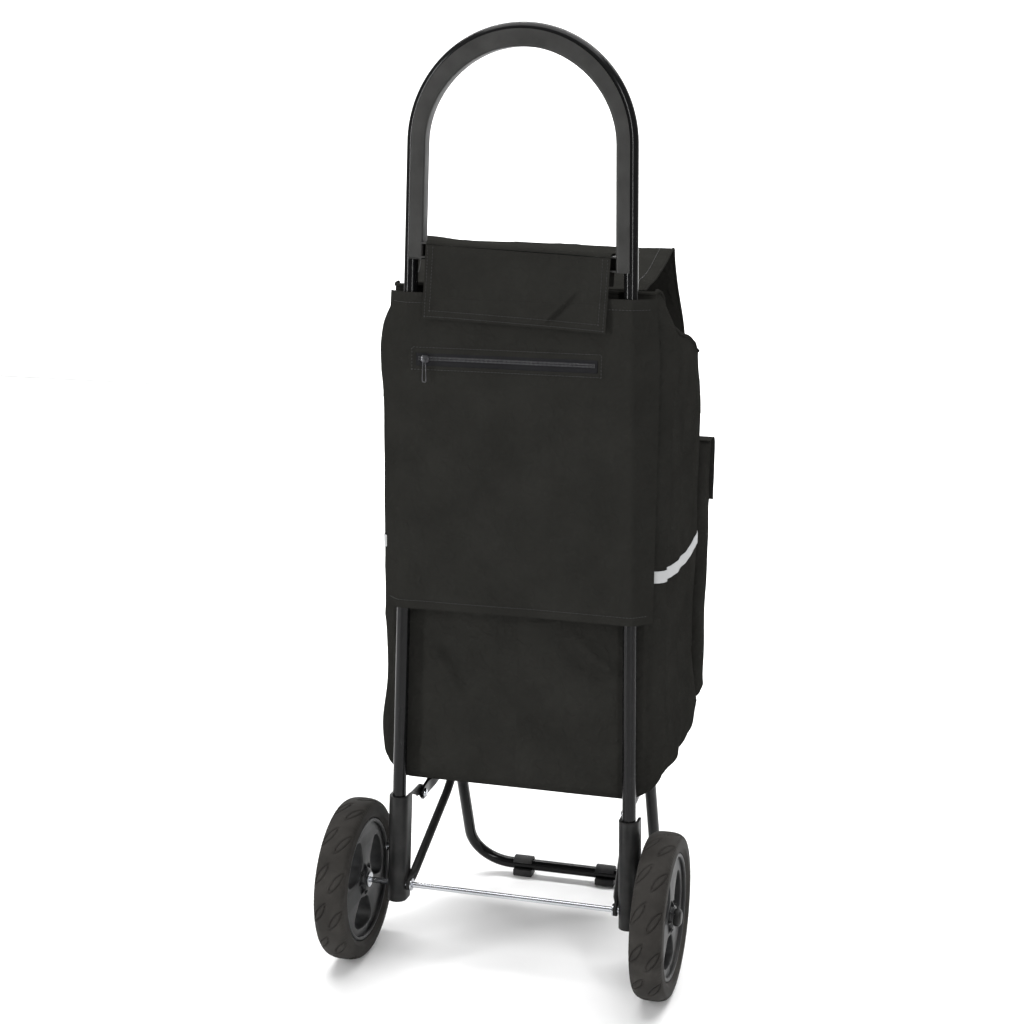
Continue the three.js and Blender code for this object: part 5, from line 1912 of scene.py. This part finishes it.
class TROLLEY_OT_foot_pads(bpy.types.Operator):
    """Builds the clip-on foot pads"""

    bl_idname = "trolley.foot_pads"
    bl_label = "Foot pads"

    def execute(self, context):
        make_foot_pads()
        return {"FINISHED"}


class TROLLEY_OT_fasteners(bpy.types.Operator):
    """Builds the bright turned parts"""

    bl_idname = "trolley.fasteners"
    bl_label = "Axle and rivets"

    def execute(self, context):
        make_fasteners()
        return {"FINISHED"}


class TROLLEY_OT_wheels(bpy.types.Operator):
    """Builds the tyres and the spoked wheels"""

    bl_idname = "trolley.wheels"
    bl_label = "Wheels"

    def execute(self, context):
        make_wheels()
        return {"FINISHED"}


class TROLLEY_OT_bag(bpy.types.Operator):
    """Builds the bag's cloth shell and its base board"""

    bl_idname = "trolley.bag"
    bl_label = "Bag"

    def execute(self, context):
        make_bag(context.scene.trolley)
        return {"FINISHED"}


class TROLLEY_OT_strips(bpy.types.Operator):
    """Builds the reflective tapes on the bag's sides"""

    bl_idname = "trolley.strips"
    bl_label = "Side tapes"

    def execute(self, context):
        make_strips()
        return {"FINISHED"}


class TROLLEY_OT_lid(bpy.types.Operator):
    """Builds the bag's lid"""

    bl_idname = "trolley.lid"
    bl_label = "Lid"

    def execute(self, context):
        make_lid(context.scene.trolley)
        return {"FINISHED"}


class TROLLEY_OT_sleeve(bpy.types.Operator):
    """Builds the panel that slides over the legs"""

    bl_idname = "trolley.sleeve"
    bl_label = "Sleeve"

    def execute(self, context):
        make_sleeve()
        return {"FINISHED"}


class TROLLEY_OT_zip(bpy.types.Operator):
    """Builds the zip with its slider and puller"""

    bl_idname = "trolley.zip"
    bl_label = "Zip"

    def execute(self, context):
        make_zip()
        return {"FINISHED"}


class TROLLEY_OT_hanger(bpy.types.Operator):
    """Builds the loop and flap over the crossbar"""

    bl_idname = "trolley.hanger"
    bl_label = "Hanger"

    def execute(self, context):
        make_hanger(context.scene.trolley)
        return {"FINISHED"}


class TROLLEY_OT_front_pocket(bpy.types.Operator):
    """Builds the front pocket and its flap"""

    bl_idname = "trolley.front_pocket"
    bl_label = "Front pocket"

    def execute(self, context):
        make_front_pocket()
        return {"FINISHED"}


class TROLLEY_OT_stage(bpy.types.Operator):
    """Builds the floor, the lights and the camera"""

    bl_idname = "trolley.stage"
    bl_label = "Stage"

    def execute(self, context):
        make_stage(context.scene.trolley)
        return {"FINISHED"}


STEPS = (
    TROLLEY_OT_handle_tube,
    TROLLEY_OT_grip_insert,
    TROLLEY_OT_brackets,
    TROLLEY_OT_foot,
    TROLLEY_OT_struts,
    TROLLEY_OT_foot_pads,
    TROLLEY_OT_fasteners,
    TROLLEY_OT_wheels,
    TROLLEY_OT_bag,
    TROLLEY_OT_strips,
    TROLLEY_OT_lid,
    TROLLEY_OT_sleeve,
    TROLLEY_OT_zip,
    TROLLEY_OT_hanger,
    TROLLEY_OT_front_pocket,
    TROLLEY_OT_stage,
)
STEP_NAMES = [step.bl_idname.split(".")[1] for step in STEPS]


class TROLLEY_PT_panel(bpy.types.Panel):
    """Lists the trolley's build steps and settings."""

    bl_label = "Shopping trolley"
    bl_idname = "TROLLEY_PT_panel"
    bl_space_type = "VIEW_3D"
    bl_region_type = "UI"
    bl_category = "Trolley"

    def draw(self, context):
        for step in STEP_NAMES:
            self.layout.operator(f"trolley.{step}")
        for name in TrolleySettings.__annotations__:
            self.layout.prop(context.scene.trolley, name)


CLASSES = (TrolleySettings, *STEPS, TROLLEY_PT_panel)


def register():
    for item in CLASSES:
        bpy.utils.register_class(item)
    bpy.types.Scene.trolley = bpy.props.PointerProperty(type=TrolleySettings)


def unregister():
    del bpy.types.Scene.trolley
    for item in reversed(CLASSES):
        bpy.utils.unregister_class(item)


def main():
    register()
    for step in STEP_NAMES:
        getattr(bpy.ops.trolley, step)()


if __name__ == "__main__":
    main()
